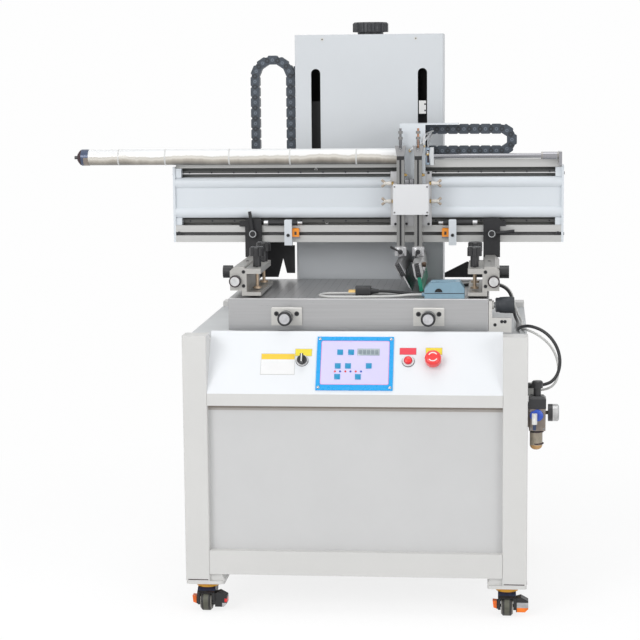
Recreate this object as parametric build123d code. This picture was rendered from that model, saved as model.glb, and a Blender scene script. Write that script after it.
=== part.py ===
from build123d import *
import math
import os

# Flatbed screen printing machine: welded cabinet on four braked casters, steel worktable,
# sheet-metal tower, and a rising print head with an air-driven squeegee carriage.
# Millimetres. X to the right, Y to the back, Z up. The origin is on the floor, under the
# middle of the cabinet. Depths named *_y are measured back from the front of the corner posts.

# Clearances
slide_gap = 0.3
running_gap = 5.0
knob_gap = 3.0

# Cabinet
cabinet_width = 840.0
cabinet_depth = 750.0
post_size = 60.0
post_top_z = 693.0
rail_size = 60.0
lower_rail_z = 98.0
deck_top_z = 680.0
deck_thickness = 3.0
panel_thickness = 2.0
panel_recess = 20.0
edge_radius = 3.0

# Casters
caster_height = 72.0
caster_pad_size = 96.0
caster_pad_thickness = 8.0
caster_pad_radius = 10.0
gusset_width = 44.0
gusset_slant = 8.0
caster_flange_thickness = 3.0
caster_flange_diameter = 76.0
swivel_ring_diameter = 56.0
swivel_ring_height = 10.0
swivel_stem_diameter = 16.0
wheel_diameter = 50.0
wheel_width = 29.0
wheel_edge_chamfer = 5.0
wheel_hub_diameter = 30.0
wheel_hub_recess = 2.0
wheel_trail = -24.0
fork_width = 44.0
wheel_side_gap = 1.0
wheel_rim_gap = 2.5
axle_diameter = 8.0
brake_pedal_width = 28.0
brake_pedal_outline = [(22, 46), (34, 50), (52, 40), (52, 20), (44, 12), (22, 12)]
release_tab_width = 20.0
release_tab_outline = [(-22, 38), (-35, 39), (-33, 22), (-22, 18)]
fork_outline = [(26, 0), (-26, 0), (-42, -12), (-42, -28), (-33, -43), (-14, -45), (12, -25), (24, -10)]

# Console and its controls
console_foot_z = 551.0
console_rail_height = 30.0
console_head_y = 89.0
console_lip = 12.0
panel_width = 188.0
panel_height = 142.0
panel_plate_thickness = 3.0
panel_field_width = 168.0
panel_field_height = 117.0
panel_field_recess = 1.0
panel_up = 10.5
panel_field_up = 25.0
device_bezel_diameter = 29.0
device_bezel_height = 4.0
device_bore_diameter = 21.0
device_bore_depth = 16.0
device_stem_depth = 8.0
cap_chamfer = 1.2
selector_diameter = 24.0
selector_height = 6.0
selector_grip_width = 8.0
selector_grip_height = 11.0
start_height = 5.0
stop_diameter = 40.0
stop_height = 20.0
stop_edge_radius = 8.0
stop_travel = 5.0
selector_x = -130.0
start_x = 130.0
stop_x = 191.0
device_up = 89.0

# Worktable
table_width = 650.0
table_depth = 450.0
table_top_z = 768.0
table_bottom_z = 688.0
table_y = 143.0
table_edge_chamfer = 1.5
saddle_width = 520.0
saddle_depth = 330.0
adjuster_knob_diameter = 36.0
adjuster_knob_length = 38.0
adjuster_knob_chamfer = 2.5
adjuster_collar_length = 10.0
adjuster_collar_extra = 8.0
adjuster_shaft_diameter = 14.0
adjuster_x = 177.0
adjuster_z = 724.0
adjuster_bracket_width = 77.0
adjuster_bracket_height = 45.0
adjuster_bracket_thickness = 8.0
side_adjuster_y = 165.0
side_adjuster_z = 751.0
side_knob_reach = 47.0
side_plate_length = 48.0
side_plate_height = 36.0

# Tower
tower_width = 400.0
tower_depth = 150.0
tower_top_z = 1428.0
tower_y = cabinet_depth - tower_depth
tower_wall = 3.0
slot_width = 25.0
slot_x = 144.0
slot_bottom_z = 960.0
slot_top_drop = 91.0
shaft_diameter = 25.0
shaft_x = 95.0
shaft_setback = 90.0
handwheel_diameter = 97.0
handwheel_height = 26.0
handwheel_base_diameter = 70.0
handwheel_base_height = 7.0
handwheel_chamfer = 4.0
handwheel_flute_diameter = 14.0
handwheel_flute_count = 16

# Print head
head_lift = 80.0
beam_length = 1026.0
beam_y = 482.0
profile_size = 45.0
profile_z = 879.0
groove_width = 9.0
groove_depth = 12.0
groove_core_width = 18.0
groove_lip = 4.0
backbone_y = 522.0
backbone_depth = 38.0
backbone_top_z = 1097.0
cover_bottom_z = 944.0
cover_top_z = 1051.0
cover_bead_height = 28.0
cover_bead_bulge = 7.0
upper_profile_height = 21.0
upper_profile_depth = 22.0
rail_width = 9.0
rail_depth = 15.0
upper_rail_z = 1064.0
lower_rail_centre_z = 934.0
rail_stop_length = 16.0
end_plate_thickness = 6.0
end_plate_top_z = 1080.0
lift_arm_width = 19.0
lift_arm_bottom_z = 985.0
lift_arm_height = 70.0
lift_plate_setback = 40.0
lift_plate_thickness = 12.0
slot_block_drop = 7.0
lift_plate_width = 330.0
lift_bearing_height = 180.0
lift_bearing_width = 50.0
slot_block_height = 35.0

# Squeegee carriage
carriage_x = 119.0
carriage_width = 108.0
carriage_plate_y = 462.0
carriage_plate_thickness = 12.0
carriage_bottom_z = 924.0
carriage_top_z = 1067.0
housing_width = 95.0
housing_offset = 2.0
housing_y = 405.0
housing_bottom_z = 957.0
housing_top_z = 1036.0
housing_radius = 5.0
column_offset = -2.5
column_size = 20.0
column_groove_width = 5.0
column_groove_depth = 4.0
column_gap = 0.4
column_pitch = 46.0
column_y = 425.0
column_bottom_z = 866.0
column_top_z = 1099.0
cap_height = 10.0
clevis_height = 27.0
clevis_top_width = 29.0
clevis_notch_width = 9.0
clevis_notch_depth = 12.0
adjusting_rod_diameter = 6.0
adjusting_rod_top_z = 1181.0
adjusting_nut_size = 12.0
adjusting_nut_height = 7.0
adjusting_nut_z = 1152.0
cover_plate_width = 67.0
cover_plate_offset = 5.0
cover_plate_top_z = 1190.0
cover_plate_thickness = 3.0
cover_plate_y = 447.0

# Flood bar and squeegee
blade_front_y = 245.0
blade_length = 340.0
tool_foot_width = 30.0
tool_foot_depth = 36.0
tool_foot_bottom_z = 849.0
tool_foot_overlap = 6.0
squeegee_tilt = 10.5
squeegee_pivot_z = 858.0
squeegee_blade_thickness = 9.0
squeegee_blade_reach = 84.0
squeegee_holder_width = 22.0
squeegee_holder_top = 12.0
squeegee_holder_reach = 52.0
squeegee_seat = 34.0
flood_tilt = 28.0
flood_pivot_offset = -6.5
flood_pivot_z = 856.0
flood_blade_thickness = 3.0
flood_blade_reach = 92.0
flood_seat = 24.0

# Stroke cylinder
tube_diameter = 42.0
tube_bore = 36.0
tube_left_x = -762.0
tube_right_x = 179.0
tube_cap_length = 20.0
tube_cap_diameter = 44.0
tube_tip_length = 20.0
tube_tip_diameter = 9.0
tube_flange_length = 9.0
tube_flange_size = 46.0
cylinder_y = 473.0
cylinder_z = 1107.0
rod_diameter = 12.0
rod_gap = 0.3
piston_length = 20.0
rod_coupling_length = 46.0
rod_coupling_diameter = 19.0
rod_block_length = 8.0
rod_block_height = 35.0

# Drag chains
chain_height = 26.0
chain_width = 30.0
chain_pitch = 28.0
chain_link_gap = 2.0
chain_link_step = 2.5
chain_y = 505.0
chain_bottom_z = 1106.0
chain_outer_radius = 41.5
chain_right_x = 396.0
chain_left_x = 157.0
chain_arm_length = 86.0
tower_chain_left_x = -324.0
tower_chain_top_z = tower_top_z - 54.0
tower_chain_bottom_z = 1120.0
tower_chain_height = 24.0
tower_chain_gap = 3.0
tower_chain_setback = 20.0
tower_chain_clip_z = tower_top_z - 128.0
tower_chain_clip_height = 45.0

# Screen clamp arms
left_arm_x = -302.0
right_arm_x = 331.0
upright_width = 44.0
upright_thickness = 14.0
upright_bottom_z = 840.0
upright_top_z = 942.0
upright_radius = 6.0
hook_length = 15.0
hook_height = 14.0
lever_diameter = 9.0
lever_length = 60.0
lever_hub_diameter = 22.0
lever_hub_length = 14.0
lever_z = 903.0
cheek_thickness = 12.0
cheek_top_z = 870.0
cheek_slope = 40.0
rear_web_thickness = 6.0
jaw_reach = 58.0
jaw_width = 41.0
clamp_width = 78.0
clamp_front_y = 160.0
clamp_length = 255.0
clamp_neck_z = 800.0
clamp_wall = 11.0
clamp_block_bottom = 13.0
clamp_block_top_z = 846.0
clamp_bevel = 11.0
lower_jaw_thickness = 9.0
upper_jaw_z = 828.0
upper_jaw_thickness = 13.0
upper_jaw_length = 225.0
upper_jaw_radius = 16.0
screw_inset = 16.0
screw_diameter = 8.0
screw_first_y = 215.0
screw_pitch = 135.0
screw_slot_length = 40.0
screw_pad_diameter = 21.0
screw_pad_thickness = 5.0
screw_pad_lift = 4.0
screw_nut_height = 27.0
screw_knob_diameter = 38.0
screw_knob_height = 23.0
screw_knob_chamfer = 3.0
screw_lobe_diameter = 12.0
screw_lobe_offset = 21.0
side_knob_diameter = 32.0
side_knob_length = 24.0
face_knob_diameter = 30.0
face_knob_length = 14.0
face_knob_z = 810.0

# Stroke stops
stop_bracket_width = 20.0
stop_bracket_thickness = 20.0
stop_bracket_bottom_z = 872.0
stop_bracket_height = 68.0
stop_left_x = -208.0
stop_right_x = 228.0
damper_diameter = 14.0
damper_tip_diameter = 8.0
damper_z = 931.0
damper_inner_length = 15.0
damper_outer_length = 55.0
damper_tip_length = 12.0
sensor_width = 18.0
sensor_height = 27.0
sensor_bottom_z = 890.0
sensor_thickness = 12.0

# Air unit on the right front post
air_unit_offset = 23.0
air_unit_y = 39.0
air_body_size = 40.0
air_body_bottom_z = 462.0
air_body_height = 54.0
air_head_height = 30.0
air_neck_diameter = 18.0
air_neck_height = 19.0
air_knob_diameter = 27.0
air_knob_height = 17.0
air_edge = 3.0
air_bowl_diameter = 31.0
air_bowl_height = 49.0
air_gauge_diameter = 42.0
air_gauge_length = 26.0
air_gauge_z = 504.0
air_gauge_stem = 6.0
air_port_diameter = 22.0
air_port_length = 9.0
air_port_offset = 7.0
air_port_z = 501.0
air_elbow_diameter = 13.0
air_elbow_neck = 10.0
air_elbow_drop = 20.0
hose_tail_diameter = 8.0
hose_tail_length = 14.0
cable_socket_length = 22.0
cable_socket_size = 25.0
cable_gland_length = 12.0
cable_gland_diameter = 15.0

# Loose foot switch and plug on the worktable, with their cables
switch_cable_diameter = 6.0
plug_cable_diameter = 8.0
foot_switch_x = 166.0
foot_switch_y = 148.0
foot_switch_length = 99.0
foot_switch_depth = 64.0
foot_switch_height = 42.0
plug_x = -8.0
plug_y = 176.0
plug_length = 38.0
plug_depth = 36.0
plug_height = 26.0
plug_boot_length = 20.0
plug_pin_length = 18.0

front_y = -cabinet_depth / 2
rear_y = -front_y
post_inner_x = cabinet_width / 2 - post_size


def depth(distance):
    return front_y + distance


def block(x0, x1, y0, y1, z0, z1):
    return Pos((x0 + x1) / 2, (y0 + y1) / 2, (z0 + z1) / 2) * Box(x1 - x0, y1 - y0, z1 - z0)


def centred_block(x, width, y0, y1, z0, z1):
    return block(x - width / 2, x + width / 2, y0, y1, z0, z1)


def rod_x(x0, x1, y, z, diameter):
    return Pos((x0 + x1) / 2, y, z) * Rot(0, 90, 0) * Cylinder(diameter / 2, x1 - x0)


def rod_y(x, y0, y1, z, diameter):
    return Pos(x, (y0 + y1) / 2, z) * Rot(90, 0, 0) * Cylinder(diameter / 2, y1 - y0)


def rod_z(x, y, z0, z1, diameter):
    return Pos(x, y, (z0 + z1) / 2) * Cylinder(diameter / 2, z1 - z0)


def plate_xz(points, y0, y1):
    outline = make_face(Polyline([(x, y0, z) for x, z in points], close=True))
    return extrude(outline, amount=y1 - y0, dir=(0, 1, 0))


def plate_yz(points, x0, x1):
    outline = make_face(Polyline([(x0, y, z) for y, z in points], close=True))
    return extrude(outline, amount=x1 - x0, dir=(1, 0, 0))


def upright_edges(solid):
    return solid.edges().filter_by(Axis.Z)


def cap_edges(solid, axis):
    return solid.faces().sort_by(axis)[-1].edges()


def save(name, *solids):
    shape = solids[0] if len(solids) == 1 else Compound(children=list(solids))
    export_step(shape, os.path.join("parts", name + ".step"))


os.makedirs("parts", exist_ok=True)

# Cabinet frame: rails between the corner posts
deck_rail_top_z = deck_top_z - deck_thickness
side_x = (cabinet_width - rail_size) / 2


def rail_loop(bottom_z, with_front):
    top_z = bottom_z + rail_size
    bars = []
    for side in (-1, 1):
        bars.append(centred_block(side * side_x, rail_size, front_y + post_size, rear_y - post_size,
                                  bottom_z, top_z))
    bars.append(block(-post_inner_x, post_inner_x, rear_y - rail_size, rear_y, bottom_z, top_z))
    if with_front:
        bars.append(block(-post_inner_x, post_inner_x, front_y, front_y + rail_size, bottom_z, top_z))
    return bars


console_rail_z = console_foot_z - console_rail_height
front_rail = block(-post_inner_x, post_inner_x, front_y, front_y + rail_size, console_rail_z,
                   console_foot_z)
save("frame_rails", *rail_loop(deck_rail_top_z - rail_size, False), front_rail,
     *rail_loop(lower_rail_z, True))

# Recessed sheet panels and the floor sheet between the rails
panel_low_z = lower_rail_z + rail_size
recess_y = front_y + panel_recess
panels = [block(-post_inner_x, post_inner_x, recess_y, recess_y + panel_thickness, panel_low_z,
                console_rail_z)]
rear_panel_y = rear_y - panel_recess
side_panel_top_z = deck_rail_top_z - rail_size
panels.append(block(-post_inner_x, post_inner_x, rear_panel_y - panel_thickness, rear_panel_y,
                    panel_low_z, side_panel_top_z))
for side in (-1, 1):
    x = side * (cabinet_width / 2 - panel_recess - panel_thickness / 2)
    panels.append(centred_block(x, panel_thickness, front_y + post_size, rear_y - post_size,
                                panel_low_z, side_panel_top_z))
panels.append(block(-post_inner_x, post_inner_x, front_y + rail_size, rear_y - rail_size,
                    lower_rail_z, lower_rail_z + panel_thickness))
save("cabinet_panels", *panels)

# Corner posts, each with its caster pad and two slanted webs between pad and rail
pad_top_z = caster_height + caster_pad_thickness
feet = []
caster_places = {}
for side, side_name in ((-1, "left"), (1, "right")):
    for end, end_name in ((-1, "front"), (1, "rear")):
        x = side * (cabinet_width - caster_pad_size) / 2
        y = end * (cabinet_depth - caster_pad_size) / 2
        caster_places[end_name + "_" + side_name] = (x, y)
        foot = centred_block(x, caster_pad_size, y - caster_pad_size / 2, y + caster_pad_size / 2,
                             caster_height, pad_top_z)
        foot = fillet(upright_edges(foot), caster_pad_radius)
        post_x = side * (cabinet_width - post_size) / 2
        post_y = end * (cabinet_depth - post_size) / 2
        post = centred_block(post_x, post_size, post_y - post_size / 2, post_y + post_size / 2,
                             pad_top_z, post_top_z)
        foot += fillet(upright_edges(post), edge_radius)
        pad_inner_x = side * (cabinet_width / 2 - caster_pad_size)
        pad_inner_y = end * (cabinet_depth / 2 - caster_pad_size)
        inner_x = side * post_inner_x
        inner_y = end * (cabinet_depth / 2 - post_size)
        foot += plate_xz([(inner_x, pad_top_z), (pad_inner_x, pad_top_z),
                          (pad_inner_x + side * gusset_slant, lower_rail_z), (inner_x, lower_rail_z)],
                         post_y - gusset_width / 2, post_y + gusset_width / 2)
        foot += plate_yz([(inner_y, pad_top_z), (pad_inner_y, pad_top_z),
                          (pad_inner_y + end * gusset_slant, lower_rail_z), (inner_y, lower_rail_z)],
                         post_x - gusset_width / 2, post_x + gusset_width / 2)
        feet.append(foot)
save("corner_posts", *feet)

# Casters: flanged swivel ring, hooded fork with its brake pedal and release tab, and the wheel
flange_z = caster_height - caster_flange_thickness
rings = []
for x, y in caster_places.values():
    ring = rod_z(x, y, flange_z - swivel_ring_height, flange_z, swivel_ring_diameter)
    ring += rod_z(x, y, flange_z, caster_height, caster_flange_diameter)
    ring -= rod_z(x, y, flange_z - swivel_ring_height, flange_z, swivel_stem_diameter + 2 * slide_gap)
    rings.append(ring)
save("swivel_rings", *rings)

fork_top_z = flange_z - swivel_ring_height - slide_gap
axle_z = wheel_diameter / 2
half_fork = fork_width / 2
for name, (x, y) in caster_places.items():
    fork = plate_yz([(y + dy, fork_top_z + dz) for dy, dz in fork_outline], x - half_fork, x + half_fork)
    slot = wheel_width + 2 * wheel_side_gap
    fork -= rod_x(x - slot / 2, x + slot / 2, y + wheel_trail, axle_z, wheel_diameter + 2 * wheel_rim_gap)
    fork += rod_x(x - half_fork, x + half_fork, y + wheel_trail, axle_z, axle_diameter)
    fork += rod_z(x, y, fork_top_z, flange_z - slide_gap, swivel_stem_diameter)
    for outline, width in ((brake_pedal_outline, brake_pedal_width),
                           (release_tab_outline, release_tab_width)):
        middle_y = y + wheel_trail
        fork += plate_xz([(x + dx, z) for dx, z in outline], middle_y - width / 2, middle_y + width / 2)
    save("caster_fork_" + name, fork)
    wheel = rod_x(x - wheel_width / 2, x + wheel_width / 2, y + wheel_trail, axle_z, wheel_diameter)
    wheel = chamfer(wheel.edges().filter_by(GeomType.CIRCLE), wheel_edge_chamfer)
    for side in (-1, 1):
        face_x = x + side * wheel_width / 2
        low_x, high_x = sorted((face_x, face_x - side * wheel_hub_recess))
        wheel -= rod_x(low_x, high_x, y + wheel_trail, axle_z, wheel_hub_diameter)
    wheel -= rod_x(x - wheel_width / 2, x + wheel_width / 2, y + wheel_trail, axle_z,
                   axle_diameter + 2 * slide_gap)
    save("caster_wheel_" + name, wheel)

# Console: a folded housing leaning back between the front posts
lean = math.atan2(console_head_y, post_top_z - console_foot_z)
console_back_y = front_y + console_head_y + console_lip
console_body = plate_yz([(front_y, console_foot_z), (front_y + console_head_y, post_top_z),
                         (console_back_y, post_top_z), (console_back_y, console_foot_z)],
                        -post_inner_x, post_inner_x)

# Deck sheet on the rails, notched round the rear posts
deck = block(-cabinet_width / 2, cabinet_width / 2, console_back_y, rear_y, deck_rail_top_z, deck_top_z)
for side in (-1, 1):
    x = side * (cabinet_width - post_size) / 2
    deck -= centred_block(x, post_size, rear_y - post_size, rear_y, deck_rail_top_z, deck_top_z)
save("deck", deck)

# Console controls, placed on the leaning face by x, distance up the face and stand-off
face_tilt = 90.0 - math.degrees(lean)


def on_console(x, up, off=0.0):
    y = front_y + up * math.sin(lean) - off * math.cos(lean)
    z = console_foot_z + up * math.cos(lean) + off * math.sin(lean)
    return Pos(x, y, z) * Rot(face_tilt, 0, 0)


control_panel = on_console(0, panel_up + panel_height / 2, panel_plate_thickness / 2) * Box(
    panel_width, panel_height, panel_plate_thickness)
control_panel -= on_console(0, panel_field_up + panel_field_height / 2,
                            panel_plate_thickness - panel_field_recess / 2) * Box(
    panel_field_width, panel_field_height, panel_field_recess)
save("control_panel", control_panel)

# Each control sits in a bore through its bezel and into the console
bezels = []
for x in (selector_x, start_x, stop_x):
    console_body -= on_console(x, device_up, -device_bore_depth / 2) * Cylinder(
        device_bore_diameter / 2, device_bore_depth)
    bezel = on_console(x, device_up, device_bezel_height / 2) * Cylinder(
        device_bezel_diameter / 2, device_bezel_height)
    bezel -= on_console(x, device_up, device_bezel_height / 2) * Cylinder(
        device_bore_diameter / 2, device_bezel_height)
    bezels.append(bezel)
save("console", console_body)
save("device_bezels", *bezels)

control_stem_diameter = device_bore_diameter - 2 * slide_gap


def control_stem(x, neck):
    length = device_bezel_height + device_stem_depth + neck
    return on_console(x, device_up, device_bezel_height + neck - length / 2) * Cylinder(
        control_stem_diameter / 2, length)


def control_cap(x, diameter, neck, height, edge):
    cap = Cylinder(diameter / 2, height)
    cap = edge(cap_edges(cap, Axis.Z))
    return on_console(x, device_up, device_bezel_height + neck + height / 2) * cap


selector_top = device_bezel_height + slide_gap + selector_height
selector = control_stem(selector_x, slide_gap)
selector += control_cap(selector_x, selector_diameter, slide_gap, selector_height,
                        lambda edges: chamfer(edges, cap_chamfer))
selector += on_console(selector_x, device_up, selector_top + selector_grip_height / 2) * Box(
    selector_grip_width, selector_diameter - 2, selector_grip_height)
save("selector", selector)
save("start_button", control_stem(start_x, slide_gap)
     + control_cap(start_x, control_stem_diameter, slide_gap, start_height,
                    lambda edges: chamfer(edges, cap_chamfer)))
stop_neck = stop_travel + slide_gap
save("stop_button", control_stem(stop_x, stop_neck)
     + control_cap(stop_x, stop_diameter, stop_neck, stop_height,
                    lambda edges: fillet(edges, stop_edge_radius)))

# Worktable on its saddle, with two front adjusters and one side adjuster
saddle_top_z = table_bottom_z - slide_gap
saddle_centre_y = depth(table_y + table_depth / 2)
save("table_saddle", centred_block(0, saddle_width, saddle_centre_y - saddle_depth / 2,
                                   saddle_centre_y + saddle_depth / 2, deck_top_z + slide_gap,
                                   saddle_top_z))
table_front_y = depth(table_y)
worktable = centred_block(0, table_width, table_front_y, table_front_y + table_depth,
                          table_bottom_z, table_top_z)
worktable = fillet(upright_edges(worktable), edge_radius)
worktable = chamfer(cap_edges(worktable, Axis.Z), table_edge_chamfer)
save("worktable", worktable)

shaft_hole = adjuster_shaft_diameter + 2 * slide_gap
collar_diameter = adjuster_shaft_diameter + adjuster_collar_extra
collar_front_y = table_front_y - adjuster_bracket_thickness - adjuster_collar_length
brackets = []
for side, name in ((-1, "left"), (1, "right")):
    x = side * adjuster_x
    bracket = centred_block(x, adjuster_bracket_width, table_front_y - adjuster_bracket_thickness,
                            table_front_y, adjuster_z - adjuster_bracket_height / 2,
                            adjuster_z + adjuster_bracket_height / 2)
    bracket = chamfer(cap_edges(bracket, Axis.Z), 2)
    bracket += rod_y(x, collar_front_y, table_front_y - adjuster_bracket_thickness, adjuster_z,
                     collar_diameter)
    bracket -= rod_y(x, collar_front_y, table_front_y, adjuster_z, shaft_hole)
    brackets.append(bracket)
    knob_rear_y = collar_front_y - knob_gap
    knob = rod_y(x, knob_rear_y - adjuster_knob_length, knob_rear_y, adjuster_z, adjuster_knob_diameter)
    knob = chamfer(knob.edges().filter_by(GeomType.CIRCLE), adjuster_knob_chamfer)
    knob += rod_y(x, knob_rear_y, table_front_y - slide_gap, adjuster_z, adjuster_shaft_diameter)
    save("adjuster_knob_" + name, knob)

table_side_x = table_width / 2
plate_outer_x = table_side_x + adjuster_bracket_thickness
side_y = depth(side_adjuster_y)
side_bracket = block(table_side_x, plate_outer_x, side_y - adjuster_bracket_height / 2,
                     side_y + adjuster_bracket_height / 2, deck_top_z + running_gap,
                     table_top_z - running_gap)
plate_front_y = side_y - adjuster_bracket_height / 2
side_bracket += block(plate_outer_x, plate_outer_x + side_plate_length, plate_front_y,
                      plate_front_y + adjuster_bracket_thickness, deck_top_z + running_gap,
                      deck_top_z + running_gap + side_plate_height)
side_collar_x = plate_outer_x + running_gap
side_bracket += rod_x(plate_outer_x, side_collar_x, side_y, side_adjuster_z, collar_diameter)
side_bracket -= rod_x(table_side_x, side_collar_x, side_y, side_adjuster_z, shaft_hole)
brackets.append(side_bracket)
save("adjuster_brackets", *brackets)
side_knob = rod_x(side_collar_x + knob_gap, side_collar_x + knob_gap + side_knob_reach, side_y,
                  side_adjuster_z, adjuster_knob_diameter)
side_knob = chamfer(side_knob.edges().filter_by(GeomType.CIRCLE), adjuster_knob_chamfer)
side_knob += rod_x(table_side_x + slide_gap, side_collar_x + knob_gap, side_y, side_adjuster_z,
                   adjuster_shaft_diameter)
save("adjuster_knob_side", side_knob)

# Tower: folded steel housing with two lift slots, closed by a back cover
tower_front_y = depth(tower_y)
tower_rear_y = tower_front_y + tower_depth
slot_top_z = tower_top_z - slot_top_drop
tower = centred_block(0, tower_width, tower_front_y, tower_rear_y, deck_top_z, tower_top_z)
tower = fillet(upright_edges(tower), edge_radius)
tower -= centred_block(0, tower_width - 2 * tower_wall, tower_front_y + tower_wall, tower_rear_y,
                       deck_top_z + tower_wall, tower_top_z - tower_wall)
for side in (-1, 1):
    tower -= centred_block(side * slot_x, slot_width, tower_front_y, tower_front_y + tower_wall,
                           slot_bottom_z, slot_top_z)
tower_back = centred_block(0, tower_width - 2 * tower_wall, tower_rear_y - tower_wall,
                           tower_rear_y, deck_top_z + tower_wall, tower_top_z - tower_wall)
save("tower", tower, tower_back)
guide_y = tower_front_y + shaft_setback
shafts = [rod_z(side * shaft_x, guide_y, deck_top_z + tower_wall, tower_top_z - tower_wall,
                shaft_diameter) for side in (-1, 1)]
save("guide_shafts", *shafts)

handwheel_y = tower_front_y + tower_depth / 2
wheel_bottom_z = tower_top_z + slide_gap + handwheel_base_height
handwheel = rod_z(0, handwheel_y, wheel_bottom_z, wheel_bottom_z + handwheel_height, handwheel_diameter)
handwheel = chamfer(cap_edges(handwheel, Axis.Z), handwheel_chamfer)
flute = rod_z(0, 0, wheel_bottom_z, wheel_bottom_z + handwheel_height, handwheel_flute_diameter)
flute_radius = (handwheel_diameter + handwheel_flute_diameter) / 2 - 3
flutes = []
for index in range(handwheel_flute_count):
    turn = 2 * math.pi * index / handwheel_flute_count
    flutes.append(Pos(flute_radius * math.cos(turn), handwheel_y + flute_radius * math.sin(turn), 0) * flute)
handwheel -= flutes
handwheel += rod_z(0, handwheel_y, tower_top_z + slide_gap, wheel_bottom_z, handwheel_base_diameter)
save("tower_handwheel", handwheel)

# Drag chains: a smooth inner band carries stepped links that follow a U-shaped path


def chain_stations(run, radius):
    bend = math.pi * radius
    count = int((2 * run + bend) // chain_pitch)
    for index in range(count):
        s = (index + 0.5) * (2 * run + bend) / count
        if s < run:
            yield s, radius, 0.0
        elif s < run + bend:
            turn = (s - run) / radius
            yield run + radius * math.sin(turn), radius * math.cos(turn), -turn
        else:
            yield 2 * run + bend - s, -radius, math.pi


def drag_chain(run, outer_radius, height):
    radius = outer_radius - height / 2
    band_height = height - 2 * chain_link_step
    band_width = chain_width - 2 * chain_link_step
    outer = radius + band_height / 2
    inner = radius - band_height / 2
    ring = Pos(run, 0, 0) * Rot(90, 0, 0) * Cylinder(outer, band_width)
    ring += block(0, run, -band_width / 2, band_width / 2, -outer, outer)
    ring -= Pos(run, 0, 0) * Rot(90, 0, 0) * Cylinder(inner, band_width)
    ring -= block(0, run, -band_width / 2, band_width / 2, -inner, inner)
    link = Box(chain_pitch - chain_link_gap, chain_width, height)
    link = chamfer(link.edges().filter_by(Axis.Y), chain_link_step)
    links = []
    for u, v, turn in chain_stations(run, radius):
        links.append(Pos(u, 0, v) * Rot(0, -math.degrees(turn), 0) * link)
    return ring + links


chain_inner_x = -tower_width / 2 - tower_chain_gap
tower_loop_radius = (chain_inner_x - tower_chain_left_x) / 2
tower_chain_x = (chain_inner_x + tower_chain_left_x) / 2
tower_chain_y = tower_front_y + tower_chain_setback
tower_chain_run = tower_chain_top_z - tower_loop_radius - tower_chain_bottom_z
tower_chain = drag_chain(tower_chain_run, tower_loop_radius, tower_chain_height)
tower_chain = Pos(tower_chain_x, tower_chain_y + chain_width / 2, tower_chain_bottom_z) * Rot(
    0, -90, 0) * tower_chain
tower_chain += block(chain_inner_x - chain_link_step - 1, -tower_width / 2, tower_chain_y + 5,
                     tower_chain_y + chain_width - 5, tower_chain_clip_z,
                     tower_chain_clip_z + tower_chain_clip_height)
save("tower_chain", tower_chain)

# Print head: backbone, grooved profiles, beaded cover, rails and end plates
half_beam = beam_length / 2
beam_front_y = depth(beam_y)
backbone_front_y = depth(backbone_y)
backbone_rear_y = backbone_front_y + backbone_depth
save("head_backbone", block(-half_beam, half_beam, backbone_front_y, backbone_rear_y, profile_z,
                            backbone_top_z))
profile_top_z = profile_z + profile_size
profile_mid_z = profile_z + profile_size / 2
lower_profile = block(-half_beam, half_beam, beam_front_y, backbone_front_y, profile_z, profile_top_z)
lower_profile -= block(-half_beam, half_beam, beam_front_y, beam_front_y + groove_lip,
                       profile_mid_z - groove_width / 2, profile_mid_z + groove_width / 2)
lower_profile -= block(-half_beam, half_beam, beam_front_y + groove_lip, beam_front_y + groove_depth,
                       profile_mid_z - groove_core_width / 2, profile_mid_z + groove_core_width / 2)
profile_mid_y = (beam_front_y + backbone_front_y) / 2
lower_profile -= block(-half_beam, half_beam, profile_mid_y - groove_width / 2,
                       profile_mid_y + groove_width / 2, profile_z, profile_z + groove_lip)
upper_profile_y = backbone_front_y - upper_profile_depth
upper_profile = block(-half_beam, half_beam, upper_profile_y, backbone_front_y,
                      backbone_top_z - upper_profile_height, backbone_top_z)
save("beam_profiles", lower_profile, upper_profile)

cover_face_y = beam_front_y + cover_bead_bulge
outline = Polyline((0, cover_face_y, cover_bottom_z), (0, backbone_front_y, cover_bottom_z),
                   (0, backbone_front_y, cover_top_z), (0, cover_face_y, cover_top_z))
outline += ThreePointArc((0, cover_face_y, cover_top_z),
                         (0, beam_front_y, cover_top_z - cover_bead_height / 2),
                         (0, cover_face_y, cover_top_z - cover_bead_height))
outline += Line((0, cover_face_y, cover_top_z - cover_bead_height),
                (0, cover_face_y, cover_bottom_z + cover_bead_height))
outline += ThreePointArc((0, cover_face_y, cover_bottom_z + cover_bead_height),
                         (0, beam_front_y, cover_bottom_z + cover_bead_height / 2),
                         (0, cover_face_y, cover_bottom_z))
save("beam_cover", extrude(make_face(outline), amount=half_beam, dir=(1, 0, 0), both=True))

rail_front_y = backbone_front_y - rail_depth
save("carriage_rails", *[block(-half_beam, half_beam, rail_front_y, backbone_front_y,
                               z - rail_width / 2, z + rail_width / 2)
                         for z in (upper_rail_z, lower_rail_centre_z)])
end_plates = []
for side in (-1, 1):
    x = side * (half_beam + end_plate_thickness / 2)
    plate = centred_block(x, end_plate_thickness, beam_front_y, backbone_rear_y, profile_z,
                          end_plate_top_z)
    stop_x0, stop_x1 = sorted((side * half_beam, side * (half_beam - rail_stop_length)))
    for low_z, high_z in ((profile_top_z, cover_bottom_z),
                          (cover_top_z, backbone_top_z - upper_profile_height)):
        plate += block(stop_x0, stop_x1, beam_front_y + running_gap, rail_front_y, low_z + slide_gap,
                       high_z - slide_gap)
    end_plates.append(plate)

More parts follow.
